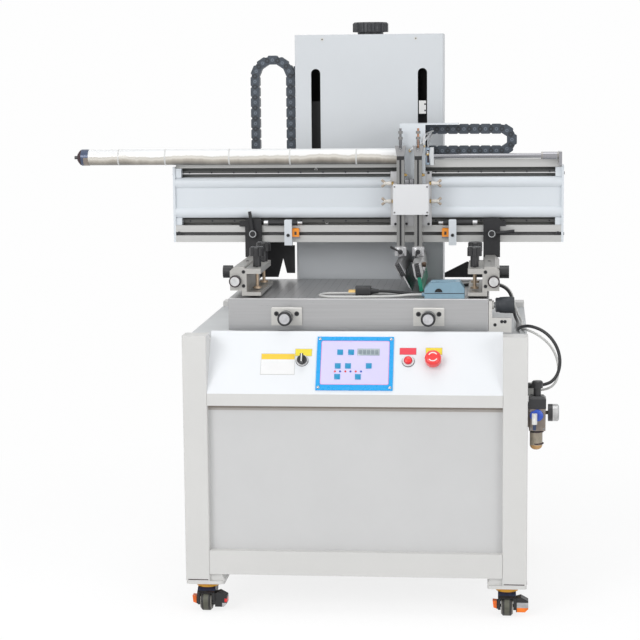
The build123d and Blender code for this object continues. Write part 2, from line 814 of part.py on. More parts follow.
# Lift carrier: two arms through the tower slots to a plate that runs on the guide shafts
lift_plate_y = tower_front_y + lift_plate_setback
lift_plate_rear_y = lift_plate_y + lift_plate_thickness
lift_plate_top_z = slot_top_z - head_lift - slot_block_drop
carrier = centred_block(0, lift_plate_width, lift_plate_y, lift_plate_rear_y, lift_arm_bottom_z,
                        lift_plate_top_z)
for side in (-1, 1):
    carrier += centred_block(side * slot_x, lift_arm_width, backbone_rear_y, lift_plate_y,
                             lift_arm_bottom_z, lift_arm_bottom_z + lift_arm_height)
    bearing = centred_block(side * shaft_x, lift_bearing_width, lift_plate_rear_y,
                            guide_y + lift_bearing_width / 2, lift_arm_bottom_z,
                            lift_arm_bottom_z + lift_bearing_height)
    bearing -= rod_z(side * shaft_x, guide_y, lift_arm_bottom_z,
                     lift_arm_bottom_z + lift_bearing_height, shaft_diameter + 2 * slide_gap)
    carrier += bearing
slot_block = centred_block(slot_x, lift_arm_width, tower_front_y - slide_gap, lift_plate_y,
                           lift_plate_top_z - slot_block_height, lift_plate_top_z)
carrier += slot_block
save("lift_carrier", carrier)

# Stroke stops on the lower profile: bracket, shock absorber and sensor on each side
stops = []
sensors = []
dampers = []
stop_front_y = beam_front_y - stop_bracket_thickness
damper_y = beam_front_y - stop_bracket_thickness / 2
damper_tips = {}
for x, inward in ((stop_left_x, 1), (stop_right_x, -1)):
    bracket = centred_block(x, stop_bracket_width, stop_front_y, beam_front_y, stop_bracket_bottom_z,
                            stop_bracket_bottom_z + stop_bracket_height)
    bracket = chamfer(cap_edges(bracket, Axis.Z), 2)
    bracket -= rod_x(x - stop_bracket_width / 2, x + stop_bracket_width / 2, damper_y, damper_z,
                     damper_diameter)
    stops.append(bracket)
    inner_x = x + inward * (stop_bracket_width / 2 + damper_inner_length)
    outer_x = x - inward * (stop_bracket_width / 2 + damper_outer_length)
    tip_x = inner_x + inward * damper_tip_length
    damper_tips[inward] = tip_x
    damper = rod_x(min(inner_x, outer_x), max(inner_x, outer_x), damper_y, damper_z, damper_diameter)
    damper += rod_x(min(inner_x, tip_x), max(inner_x, tip_x), damper_y, damper_z, damper_tip_diameter)
    dampers.append(damper)
    sensor_x = x + inward * (stop_bracket_width + sensor_width) / 2
    sensor = centred_block(sensor_x, sensor_width, beam_front_y - sensor_thickness, beam_front_y,
                           sensor_bottom_z, sensor_bottom_z + sensor_height)
    sensors.append(chamfer(cap_edges(sensor, Axis.Z), 2))
save("head_plates", *end_plates, *stops)
save("stop_sensors", *sensors)
save("stop_dampers", *dampers)
stroke_left = carriage_x - carriage_width / 2 - damper_tips[1] - running_gap
stroke_right = damper_tips[-1] - carriage_x - carriage_width / 2 - running_gap
print("carriage stroke", -stroke_left, stroke_right)

# Carriage: plate with side flanges and rail shoes, guide housing, back cover plate
plate_y = depth(carriage_plate_y)
plate_rear_y = plate_y + carriage_plate_thickness
carriage = centred_block(carriage_x, carriage_width, plate_y, plate_rear_y, carriage_bottom_z,
                         carriage_top_z)
shoe_front_y = rail_front_y - rod_gap
for z in (upper_rail_z, lower_rail_centre_z):
    carriage += centred_block(carriage_x, carriage_width, plate_rear_y, shoe_front_y,
                              z - rail_width / 2, min(z + rail_width / 2, carriage_top_z))
save("carriage_plate", carriage)
column_x = carriage_x + column_offset
column_xs = {"flood": column_x - column_pitch / 2, "squeegee": column_x + column_pitch / 2}
housing = centred_block(carriage_x + housing_offset, housing_width, depth(housing_y), plate_y,
                        housing_bottom_z, housing_top_z)
housing = fillet(upright_edges(housing).group_by(Axis.Y)[0], housing_radius)
for x in column_xs.values():
    hole = column_size + 2 * column_gap
    housing -= centred_block(x, hole, depth(column_y) - hole / 2, depth(column_y) + hole / 2,
                             housing_bottom_z, housing_top_z)
save("guide_housing", housing)
cover_x = carriage_x + cover_plate_offset
cover_front_y = depth(cover_plate_y)
cover_rear_y = cover_front_y + cover_plate_thickness
cover_low_z = housing_top_z + slide_gap
cover = centred_block(cover_x, cover_plate_width, cover_front_y, cover_rear_y, cover_low_z,
                      cover_plate_top_z - cover_plate_thickness)
cover += centred_block(cover_x, cover_plate_width, cover_front_y, plate_y, cover_low_z,
                       cover_low_z + cover_plate_thickness)
chain_front_y = depth(chain_y)
chain_rear_y = chain_front_y + chain_width
chain_top_z = chain_bottom_z + 2 * chain_outer_radius
cover += block(cover_x - cover_plate_width / 2, chain_left_x + chain_arm_length, cover_front_y,
               chain_rear_y, chain_top_z, chain_top_z + cover_plate_thickness)
cover += centred_block(cover_x, cover_plate_width, cover_front_y, cover_rear_y,
                       cover_plate_top_z - cover_plate_thickness, chain_top_z)
save("carriage_cover", cover)

# Stroke cylinder: the tube travels with the carriage, the rod is held by the head
rod_y_axis = depth(cylinder_y)
tube = rod_x(tube_left_x, tube_right_x, rod_y_axis, cylinder_z, tube_diameter)
tube += rod_x(tube_left_x, tube_left_x + tube_cap_length, rod_y_axis, cylinder_z, tube_cap_diameter)
tube += rod_x(tube_left_x - tube_tip_length, tube_left_x, rod_y_axis, cylinder_z, tube_tip_diameter)
flange_x = tube_right_x - tube_flange_length
tube += rod_x(flange_x - tube_cap_length + 3, flange_x, rod_y_axis, cylinder_z, tube_cap_diameter)
tube += block(flange_x, tube_right_x, rod_y_axis - tube_flange_size / 2, rod_y_axis + tube_flange_size / 2,
              cylinder_z - tube_flange_size / 2, cylinder_z + tube_flange_size / 2)
bore_left_x = tube_left_x + tube_cap_length
bore_right_x = tube_right_x - tube_cap_length
tube -= rod_x(bore_left_x, bore_right_x, rod_y_axis, cylinder_z, tube_bore)
tube -= rod_x(bore_right_x, tube_right_x, rod_y_axis, cylinder_z, rod_diameter + 2 * rod_gap)
tube_saddle = centred_block(carriage_x, cover_plate_width - 6, plate_y, plate_rear_y, carriage_top_z,
                            cylinder_z)
tube_saddle -= rod_x(carriage_x - cover_plate_width / 2, carriage_x + cover_plate_width / 2, rod_y_axis,
                     cylinder_z, tube_diameter)
save("cylinder_tube", tube + tube_saddle)
piston_x = bore_right_x - stroke_left - piston_length - running_gap
rod_end_x = half_beam - rod_block_length
rod = rod_x(piston_x, rod_end_x, rod_y_axis, cylinder_z, rod_diameter)
rod += rod_x(piston_x, piston_x + piston_length, rod_y_axis, cylinder_z, tube_bore - 2 * rod_gap)
rod += rod_x(rod_end_x - rod_coupling_length, rod_end_x, rod_y_axis, cylinder_z, rod_coupling_diameter)
rod_block_y = rod_y_axis - rod_coupling_diameter / 2 - 3
rod_block_top_z = cylinder_z + rod_coupling_diameter / 2
rod += block(rod_end_x, half_beam, rod_block_y, upper_profile_y, rod_block_top_z - rod_block_height,
             rod_block_top_z)
rod += block(rod_end_x, half_beam, upper_profile_y, backbone_front_y, backbone_top_z, rod_block_top_z)
save("cylinder_rod", rod)

# Horizontal drag chain on the carriage
chain_run = chain_right_x - chain_outer_radius - chain_left_x
carriage_chain = drag_chain(chain_run, chain_outer_radius, chain_height)
save("carriage_chain", Pos(chain_left_x, chain_front_y + chain_width / 2,
                           chain_bottom_z + chain_outer_radius) * carriage_chain)

# Flood bar and squeegee columns: grooved profile, cap, clevis, threaded adjuster and clamp foot
column_y_axis = depth(column_y)
half_column = column_size / 2


def column(x):
    post = centred_block(x, column_size, column_y_axis - half_column, column_y_axis + half_column,
                         column_bottom_z, column_top_z)
    half_groove = column_groove_width / 2
    bottom_z = column_bottom_z + tool_foot_overlap
    for side in (-1, 1):
        low, high = sorted((side * half_column, side * (half_column - column_groove_depth)))
        post -= block(x + low, x + high, column_y_axis - half_groove, column_y_axis + half_groove,
                      bottom_z, column_top_z)
        post -= block(x - half_groove, x + half_groove, column_y_axis + low, column_y_axis + high,
                      bottom_z, column_top_z)
    foot = centred_block(x, tool_foot_width, column_y_axis - tool_foot_depth / 2,
                         column_y_axis + tool_foot_depth / 2, tool_foot_bottom_z,
                         column_bottom_z + tool_foot_overlap)
    post += chamfer(cap_edges(foot, Axis.Z), 2)
    clevis_z = column_top_z + cap_height
    clevis_top_z = clevis_z + clevis_height
    post += centred_block(x, column_size - 1, column_y_axis - half_column + 1,
                          column_y_axis + half_column - 1, column_top_z, clevis_z)
    half_base = column_size / 2 - 0.5
    half_top = clevis_top_width / 2
    half_notch = clevis_notch_width / 2
    notch_z = clevis_top_z - clevis_notch_depth
    post += plate_xz([(x - half_base, clevis_z), (x + half_base, clevis_z), (x + half_top, clevis_top_z),
                      (x + half_notch, clevis_top_z), (x + half_notch, notch_z),
                      (x - half_notch, notch_z), (x - half_notch, clevis_top_z),
                      (x - half_top, clevis_top_z)],
                     column_y_axis - half_column + 1, column_y_axis + half_column - 1)
    post += rod_z(x, column_y_axis, notch_z, adjusting_rod_top_z, adjusting_rod_diameter)
    nut = extrude(RegularPolygon(adjusting_nut_size / 2, 6), amount=adjusting_nut_height)
    for z in (adjusting_nut_z, adjusting_rod_top_z - 2 * adjusting_nut_height):
        post += Pos(x, column_y_axis, z) * nut
    return post


for name, x in column_xs.items():
    save(name + "_column", column(x))

blade_y0 = depth(blade_front_y)


def tool_bar(x, z, tilt, points):
    outline = make_face(Polyline([(u, 0, w) for u, w in points], close=True))
    bar = extrude(outline, amount=blade_length, dir=(0, 1, 0))
    return Pos(x, blade_y0, z) * Rot(0, -tilt, 0) * bar


half_holder = squeegee_holder_width / 2
half_blade = squeegee_blade_thickness / 2
squeegee_x = column_xs["squeegee"]
save("squeegee_holder", tool_bar(squeegee_x, squeegee_pivot_z, squeegee_tilt, [
    (-half_holder, -squeegee_holder_top), (half_holder, -squeegee_holder_top),
    (half_holder, -squeegee_holder_reach + 10), (half_blade + 3, -squeegee_holder_reach),
    (half_blade + slide_gap, -squeegee_holder_reach), (half_blade + slide_gap, -squeegee_seat),
    (-half_blade - slide_gap, -squeegee_seat), (-half_blade - slide_gap, -squeegee_holder_reach),
    (-half_blade - 3, -squeegee_holder_reach), (-half_holder, -squeegee_holder_reach + 10)]))
save("squeegee_blade", tool_bar(squeegee_x, squeegee_pivot_z, squeegee_tilt, [
    (-half_blade, -squeegee_seat - slide_gap), (half_blade, -squeegee_seat - slide_gap),
    (half_blade, -squeegee_blade_reach), (-half_blade, -squeegee_blade_reach)]))
flood_x = column_xs["flood"] + flood_pivot_offset
half_flood = flood_blade_thickness / 2
save("flood_holder", tool_bar(flood_x, flood_pivot_z, flood_tilt, [
    (-9, -14), (11, -14), (11, -40), (5, -46), (half_flood + slide_gap, -46),
    (half_flood + slide_gap, -flood_seat), (-half_flood - slide_gap, -flood_seat),
    (-half_flood - slide_gap, -58), (-6, -58), (-9, -52)]))
save("flood_blade", tool_bar(flood_x, flood_pivot_z, flood_tilt, [
    (-half_flood, -flood_seat - slide_gap), (half_flood, -flood_seat - slide_gap),
    (half_flood, -flood_blade_reach), (-half_flood, -flood_blade_reach)]))

# Screen clamp arms: black upright and cheek on the lower profile, slotted aluminium clamp rail
clamp_bottom_z = table_top_z + running_gap
clamp_rear_y = depth(clamp_front_y) + clamp_length
upright_rear_y = beam_front_y - slide_gap
upright_front_y = upright_rear_y - upright_thickness
cheek_rear_y = tower_front_y - 2 * running_gap
jaw_top_z = upper_jaw_z + upper_jaw_thickness
half_upright = upright_width / 2
tower_edge_x = tower_width / 2 + running_gap - 1


def arm(name, x, inward, lever_turn):
    def at(s):
        return x + inward * (jaw_reach - s)

    def between(s0, s1, y0, y1, z0, z1):
        return block(min(at(s0), at(s1)), max(at(s0), at(s1)), y0, y1, z0, z1)

    upright = centred_block(x, upright_width, upright_front_y, upright_rear_y, upright_bottom_z,
                            upright_top_z)
    upright = fillet(upright.edges().filter_by(Axis.Y).group_by(Axis.Z)[-1], upright_radius)
    hook_x = x - inward * half_upright
    hook_low, hook_high = sorted((hook_x, hook_x - inward * hook_length))
    upright += block(hook_low, hook_high, upright_front_y, upright_rear_y - 4,
                     upright_top_z - hook_height - upright_radius, upright_top_z - upright_radius)
    cheek = plate_yz([(upright_front_y, cheek_top_z), (upright_front_y, upright_bottom_z),
                      (upright_front_y + cheek_slope, clamp_bottom_z + 1),
                      (cheek_rear_y, clamp_bottom_z + 1), (cheek_rear_y, cheek_top_z)],
                     x - cheek_thickness / 2, x + cheek_thickness / 2)
    web_y = cheek_rear_y - rear_web_thickness
    foot_z = clamp_bottom_z + 1
    edge_x = -inward * tower_edge_x
    if inward > 0:
        web = [(x, foot_z), (x, cheek_top_z), (edge_x - 28, cheek_top_z), (edge_x - 28, 861),
               (edge_x, 861), (edge_x, 785), (edge_x - 22, 785), (edge_x - 32, 826),
               (edge_x - 42, 788), (edge_x - 46, foot_z)]
    else:
        web = [(x, foot_z), (edge_x, foot_z), (edge_x, foot_z + 12), (edge_x + 61, 817),
               (edge_x + 90, 800), (x, 800)]
    upright += cheek + plate_xz(web, web_y, cheek_rear_y)
    hub_front_y = upright_front_y - lever_hub_length
    upright += rod_y(x, hub_front_y, upright_front_y, lever_z, lever_hub_diameter)
    lever = Pos(x, hub_front_y + lever_hub_length / 2, lever_z) * Rot(0, lever_turn, 0) * Pos(
        0, 0, lever_length / 2) * Cylinder(lever_diameter / 2, lever_length)
    upright += lever
    save("arm_upright_" + name, upright)

    y0 = depth(clamp_front_y)
    lower_jaw_top_z = clamp_bottom_z + lower_jaw_thickness
    block_bottom_z = clamp_bottom_z + clamp_block_bottom
    section = [(0, clamp_bottom_z), (jaw_width + clamp_wall - 4, clamp_bottom_z),
               (jaw_width + clamp_wall - 4, block_bottom_z), (clamp_width, block_bottom_z),
               (clamp_width, clamp_block_top_z - clamp_bevel),
               (clamp_width - clamp_bevel, clamp_block_top_z), (jaw_width, clamp_block_top_z),
               (jaw_width, jaw_top_z), (0, jaw_top_z), (0, upper_jaw_z), (jaw_width - 5, upper_jaw_z),
               (jaw_width - 5, lower_jaw_top_z), (0, lower_jaw_top_z)]
    rail = plate_xz([(at(s), z) for s, z in section], y0, upright_front_y)
    rail -= between(-1, clamp_width + 1, clamp_rear_y, upright_front_y, clamp_bottom_z, clamp_neck_z)
    rail -= between(-1, jaw_width - 5, clamp_rear_y, upright_front_y, clamp_neck_z, jaw_top_z)
    rail -= between(-1, jaw_width - 5, y0 + upper_jaw_length, clamp_rear_y, upper_jaw_z, jaw_top_z)
    rear_corners = rail.edges().filter_by(Axis.Z).filter_by_position(
        Axis.Y, y0 + upper_jaw_length - 1, y0 + upper_jaw_length + 1).filter_by_position(
        Axis.X, at(0) - 1, at(0) + 1)
    rail = fillet(rear_corners, upper_jaw_radius)
    screws = []
    for screw_y in (depth(screw_first_y), depth(screw_first_y) + screw_pitch):
        rail -= between(screw_inset - screw_diameter / 2 - slide_gap,
                        screw_inset + screw_diameter / 2 + slide_gap, screw_y - screw_slot_length / 2,
                        screw_y + screw_slot_length / 2, upper_jaw_z, jaw_top_z)
        x_screw = at(screw_inset)
        pad_z = lower_jaw_top_z + screw_pad_lift
        nut_z = jaw_top_z + slide_gap
        knob_z = nut_z + screw_nut_height
        screw = rod_z(x_screw, screw_y, pad_z, knob_z, screw_diameter)
        screw += rod_z(x_screw, screw_y, pad_z, pad_z + screw_pad_thickness, screw_pad_diameter)
        screw += rod_z(x_screw, screw_y, nut_z, knob_z, screw_pad_diameter)
        cap = rod_z(x_screw, screw_y, knob_z, knob_z + screw_knob_height, screw_knob_diameter)
        cap = chamfer(cap_edges(cap, Axis.Z), screw_knob_chamfer)
        lobe = rod_z(0, 0, knob_z, knob_z + screw_knob_height, screw_lobe_diameter)
        lobes = [Pos(x_screw, screw_y, 0) * Rot(0, 0, 60 * index) * Pos(screw_lobe_offset, 0, 0) * lobe
                 for index in range(6)]
        screws.append(screw + (cap - lobes))
    save("clamp_rail_" + name, rail)
    knob_low, knob_high = sorted((at(clamp_width), at(clamp_width + side_knob_length)))
    screws.append(rod_x(knob_low, knob_high, depth(screw_first_y), face_knob_z + 18, side_knob_diameter))
    face_knob = rod_y(at(clamp_width - 14), y0 - face_knob_length, y0, face_knob_z, face_knob_diameter)
    screws.append(chamfer(face_knob.faces().sort_by(Axis.Y)[0].edges(), 2))
    save("clamp_screws_" + name, *screws)


arm("left", left_arm_x, 1, -8)
arm("right", right_arm_x, -1, 84)

# Air unit on the right front post: regulator with knob, bowl, gauge and port
post_side_x = cabinet_width / 2
air_x = post_side_x + air_unit_offset
air_y = depth(air_unit_y)
half_air = air_body_size / 2
air_body_top_z = air_body_bottom_z + air_body_height
air_head_top_z = air_body_top_z + air_head_height
air_body = centred_block(air_x, air_body_size, air_y - half_air, air_y + half_air, air_body_bottom_z,
                         air_body_top_z)
air_head = centred_block(air_x, air_body_size + 2, air_y - half_air - 1, air_y + half_air + 1,
                         air_body_top_z, air_head_top_z)
air_unit = fillet(upright_edges(air_body), 4) + chamfer(cap_edges(air_head, Axis.Z), 6)
air_unit += block(post_side_x, air_x, air_y - 12, air_y + 12, air_body_bottom_z + 8, air_body_top_z + 12)
air_knob_z = air_head_top_z + air_neck_height
air_unit += rod_z(air_x, air_y, air_head_top_z, air_knob_z, air_neck_diameter)
air_cap = rod_z(air_x, air_y, air_knob_z, air_knob_z + air_knob_height, air_knob_diameter)
air_unit += chamfer(cap_edges(air_cap, Axis.Z), air_edge)
bowl_bottom_z = air_body_bottom_z - air_bowl_height
bowl = rod_z(air_x - 2, air_y, bowl_bottom_z, air_body_bottom_z, air_bowl_diameter)
air_unit += fillet(bowl.faces().sort_by(Axis.Z)[0].edges(), air_bowl_diameter / 2 - 3)
gauge_x = air_x + half_air + air_gauge_stem
air_unit += rod_x(air_x, gauge_x, air_y, air_gauge_z, air_neck_diameter / 2)
gauge = rod_x(gauge_x, gauge_x + air_gauge_length, air_y, air_gauge_z, air_gauge_diameter)
air_unit += chamfer(cap_edges(gauge, Axis.X), air_edge)
port_front_y = air_y - half_air - air_port_length
port_x = air_x - air_port_offset
air_unit += rod_y(port_x, port_front_y, air_y, air_port_z, air_port_diameter)
elbow_y = port_front_y - air_elbow_diameter / 2
elbow_low_z = air_port_z - air_elbow_drop
air_unit += rod_y(port_x, elbow_y, port_front_y, air_port_z, air_elbow_neck)
air_unit += rod_z(port_x, elbow_y, elbow_low_z, air_port_z + air_elbow_diameter / 2, air_elbow_diameter)
air_unit += rod_z(port_x, elbow_y, elbow_low_z - hose_tail_length, elbow_low_z, hose_tail_diameter)

# Cable socket and gland on the same post
socket_y = depth(86)
socket_z = 551.0
gland_y = depth(64)
gland_z = 566.0
socket = block(post_side_x, post_side_x + cable_socket_length, socket_y - 12, socket_y + 12,
               socket_z - cable_socket_size / 2, socket_z + cable_socket_size / 2)
socket = fillet(cap_edges(socket, Axis.X), 4)
gland = rod_x(post_side_x, post_side_x + cable_gland_length, gland_y, gland_z, cable_gland_diameter)
save("air_unit", air_unit, socket, gland)

# Foot switch on the worktable: base and sloping treadle in one moulding, cable boss on the left
rest_z = table_top_z + slide_gap
switch_x1 = foot_switch_x + foot_switch_length
switch_top_z = rest_z + foot_switch_height
switch_rear_y = depth(foot_switch_y) + foot_switch_depth
foot_switch = plate_xz([(foot_switch_x, rest_z), (switch_x1, rest_z), (switch_x1, switch_top_z - 18),
                        (switch_x1 - 12, switch_top_z), (foot_switch_x + 14, switch_top_z - 4),
                        (foot_switch_x, switch_top_z - 18)],
                       depth(foot_switch_y), switch_rear_y)
foot_switch = fillet(foot_switch.edges().filter_by(Axis.Y).group_by(Axis.Z)[-1], 4)
seam = block(foot_switch_x - 1, switch_x1 + 1, depth(foot_switch_y) - 1, switch_rear_y + 1,
             rest_z + 12, rest_z + 13.5)
seam -= block(foot_switch_x + 1.5, switch_x1 - 1.5, depth(foot_switch_y) + 1.5, switch_rear_y - 1.5,
              rest_z + 11, rest_z + 15)
foot_switch -= seam
boss_y = depth(foot_switch_y) + foot_switch_depth / 2 - 2
boss_z = rest_z + 6.7
boss_x = foot_switch_x - 8
foot_switch += rod_x(boss_x, foot_switch_x, boss_y, boss_z, switch_cable_diameter + 4)
save("foot_switch", foot_switch)

# Plug on the worktable, its pins to the left and its cable boot to the right
plug_z = rest_z + plug_height / 2
plug_mid_y = depth(plug_y) + plug_depth / 2
plug_x1 = plug_x + plug_length
plug = block(plug_x, plug_x1, depth(plug_y), depth(plug_y) + plug_depth, rest_z, rest_z + plug_height)
plug = fillet(plug.edges().filter_by(Axis.X), 8)
plug_boot_x = plug_x1 + plug_boot_length
boot = Pos(plug_x1 + plug_boot_length / 2, plug_mid_y, plug_z) * Rot(0, 90, 0) * Cone(
    plug_cable_diameter, plug_cable_diameter / 2 + 1, plug_boot_length)
plug += boot
for side in (-1, 1):
    plug += Pos(plug_x - plug_pin_length / 2, plug_mid_y + side * 7, plug_z) * Rot(side * 30, 0, 0) * Box(
        plug_pin_length, 1.6, 6.4)
save("plug", plug)

# Cables: from the socket and gland over the cabinet's edge, along the deck, up and across the
# worktable under the right arm's neck, and round to the foot switch and the plug


def cable(name, diameter, points):
    points = [Vector(*p) for p in points]
    radii = []
    for before, here, after in zip(points, points[1:], points[2:]):
        arriving = here - before
        leaving = after - here
        turn = math.radians(arriving.get_angle(leaving))
        radii.append(0.45 * min(arriving.length, leaving.length) / math.tan(turn / 2))
    path = FilletPolyline(*points, radius=radii)
    section = Plane(origin=path @ 0, z_dir=path % 0) * Circle(diameter / 2)
    tube = sweep(section, path=path)
    share = tube.volume / (path.length * math.pi * diameter**2 / 4)
    print(name, "length", round(path.length), "tightest", round(min(radii)), "volume share", round(share, 3))
    save(name, tube)


table_z = rest_z + switch_cable_diameter / 2
deck_z = deck_top_z + slide_gap + switch_cable_diameter / 2
cable("switch_cable", switch_cable_diameter, [
    (post_side_x + cable_socket_length, socket_y, socket_z), (470, socket_y, socket_z),
    (494, depth(90), 574), (496, depth(98), 618), (478, depth(108), 658), (444, depth(126), 684),
    (416, depth(166), 690), (410, depth(216), deck_z), (407, depth(284), deck_z),
    (411, depth(352), deck_z), (396, depth(408), 702), (378, depth(456), table_z),
    (290, depth(460), table_z), (236, depth(448), table_z), (220, depth(404), table_z),
    (216, depth(346), table_z), (220, depth(286), table_z), (204, depth(242), table_z),
    (158, depth(232), table_z), (96, depth(235), table_z), (30, depth(231), table_z),
    (-36, depth(235), table_z), (-84, depth(231), table_z), (-104, depth(194), table_z),
    (-82, depth(158), table_z), (-34, depth(155), table_z), (30, depth(159), table_z),
    (88, depth(168), table_z), (128, boss_y, boss_z), (boss_x, boss_y, boss_z)])
table_z = rest_z + plug_cable_diameter / 2
deck_z = deck_top_z + slide_gap + plug_cable_diameter / 2
cable("plug_cable", plug_cable_diameter, [
    (post_side_x + cable_gland_length, gland_y, gland_z), (466, gland_y, gland_z),
    (492, depth(66), 588), (500, depth(69), 626), (490, depth(76), 664), (464, depth(92), 694),
    (428, depth(116), 706), (404, depth(156), 698), (398, depth(212), deck_z),
    (397, depth(274), deck_z), (400, depth(336), deck_z), (390, depth(394), 696),
    (378, depth(438), table_z), (272, depth(436), table_z), (240, depth(385), table_z),
    (237, depth(330), table_z), (242, depth(276), table_z), (222, depth(228), table_z),
    (170, depth(221), table_z), (126, depth(210), table_z), (80, plug_mid_y, plug_z),
    (plug_boot_x, plug_mid_y, plug_z)])
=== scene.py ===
import bpy
import bmesh
import math
from mathutils import Vector, Matrix


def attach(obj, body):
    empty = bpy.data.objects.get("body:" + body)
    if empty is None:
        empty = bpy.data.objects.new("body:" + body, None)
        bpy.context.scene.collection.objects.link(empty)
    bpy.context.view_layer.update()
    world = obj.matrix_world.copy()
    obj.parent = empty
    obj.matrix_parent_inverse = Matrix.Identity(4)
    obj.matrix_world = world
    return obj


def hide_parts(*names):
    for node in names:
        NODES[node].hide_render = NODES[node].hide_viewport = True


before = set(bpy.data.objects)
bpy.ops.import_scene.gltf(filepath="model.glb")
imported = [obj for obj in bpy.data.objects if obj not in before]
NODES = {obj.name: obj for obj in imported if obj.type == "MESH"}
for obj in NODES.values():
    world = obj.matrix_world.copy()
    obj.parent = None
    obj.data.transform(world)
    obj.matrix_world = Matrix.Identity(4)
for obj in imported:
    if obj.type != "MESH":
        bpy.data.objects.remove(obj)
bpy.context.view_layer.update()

# Camera: fitted to the photograph by least squares. It stands a little right of the machine's
# axis, looks slightly left and down, and sees the machine with a long lens.
yaw, pitch, roll = math.radians(5.4929), math.radians(7.5327), math.radians(-0.515)
forward = Vector((-math.sin(yaw) * math.cos(pitch), math.cos(yaw) * math.cos(pitch), -math.sin(pitch)))
flat_right = Vector((math.cos(yaw), math.sin(yaw), 0.0))
upward = flat_right.cross(forward)
cam_right = flat_right * math.cos(roll) + upward * math.sin(roll)
cam_up = upward * math.cos(roll) - flat_right * math.sin(roll)
cam_data = bpy.data.cameras.new("photo_camera")
cam_data.lens = 103.44
cam_data.sensor_width = 36.0
cam_data.clip_end = 100.0
camera = bpy.data.objects.new("photo_camera", cam_data)
camera.matrix_world = Matrix((
    (cam_right.x, cam_up.x, -forward.x, 0.3411),
    (cam_right.y, cam_up.y, -forward.y, -4.759),
    (cam_right.z, cam_up.z, -forward.z, 1.3158),
    (0, 0, 0, 1)))
bpy.context.collection.objects.link(camera)
bpy.context.scene.camera = camera
bpy.context.scene.view_settings.view_transform = "Standard"


# Switch cable: light grey round PVC cable, 6 mm thick. It leaves the white socket on the right
# post, lies over the deck and the table and ends in the foot switch's boss. It lies loose.
def new_material(name):
    material = bpy.data.materials.new(name)
    material.use_nodes = True
    nodes = material.node_tree.nodes
    return material, nodes, material.node_tree.links, nodes["Principled BSDF"]


def value_group(name, build):
    """A shader group that gives a value between Low and High, changing over the surface."""
    group = bpy.data.node_groups.new(name, "ShaderNodeTree")
    group.interface.new_socket("Vector", in_out="INPUT", socket_type="NodeSocketVector")
    for label, value in (("Scale", 10.0), ("Low", 0.0), ("High", 1.0)):
        socket = group.interface.new_socket(label, in_out="INPUT", socket_type="NodeSocketFloat")
        socket.default_value = value
    group.interface.new_socket("Value", in_out="OUTPUT", socket_type="NodeSocketFloat")
    enter = group.nodes.new("NodeGroupInput")
    leave = group.nodes.new("NodeGroupOutput")
    ranged = group.nodes.new("ShaderNodeMapRange")
    ranged.inputs["From Min"].default_value = 0.25
    ranged.inputs["From Max"].default_value = 0.75
    group.links.new(build(group, enter), ranged.inputs["Value"])
    group.links.new(enter.outputs["Low"], ranged.inputs["To Min"])
    group.links.new(enter.outputs["High"], ranged.inputs["To Max"])
    group.links.new(ranged.outputs["Result"], leave.inputs["Value"])
    return group


def stretched(squeeze):
    """Noise whose grain is drawn out along the axes with small factors."""
    def build(group, enter):
        mapping = group.nodes.new("ShaderNodeMapping")
        mapping.inputs["Scale"].default_value = squeeze
        noise = group.nodes.new("ShaderNodeTexNoise")
        noise.inputs["Detail"].default_value = 5.0
        noise.inputs["Roughness"].default_value = 0.65
        group.links.new(enter.outputs["Vector"], mapping.inputs["Vector"])
        group.links.new(mapping.outputs["Vector"], noise.inputs["Vector"])
        group.links.new(enter.outputs["Scale"], noise.inputs["Scale"])
        return noise.outputs["Fac"]
    return build


def box_mask_group():
    """1 inside the box from Low to High, both in metres, and 0 outside it."""
    group = bpy.data.node_groups.new("inside_box", "ShaderNodeTree")
    for label in ("Vector", "Low", "High"):
        group.interface.new_socket(label, in_out="INPUT", socket_type="NodeSocketVector")
    group.interface.new_socket("Mask", in_out="OUTPUT", socket_type="NodeSocketFloat")
    enter = group.nodes.new("NodeGroupInput")
    leave = group.nodes.new("NodeGroupOutput")
    margins = []
    for first, second in (("Vector", "Low"), ("High", "Vector")):
        margin = group.nodes.new("ShaderNodeVectorMath")
        margin.operation = "SUBTRACT"
        group.links.new(enter.outputs[first], margin.inputs[0])
        group.links.new(enter.outputs[second], margin.inputs[1])
        parts = group.nodes.new("ShaderNodeSeparateXYZ")
        group.links.new(margin.outputs["Vector"], parts.inputs["Vector"])
        margins += [parts.outputs["X"], parts.outputs["Y"], parts.outputs["Z"]]
    least = margins[0]
    for margin in margins[1:]:
        lower = group.nodes.new("ShaderNodeMath")
        lower.operation = "MINIMUM"
        group.links.new(least, lower.inputs[0])
        group.links.new(margin, lower.inputs[1])
        least = lower.outputs[0]
    positive = group.nodes.new("ShaderNodeMath")
    positive.operation = "GREATER_THAN"
    positive.inputs[1].default_value = 0.0
    group.links.new(least, positive.inputs[0])
    group.links.new(positive.outputs[0], leave.inputs["Mask"])
    return group


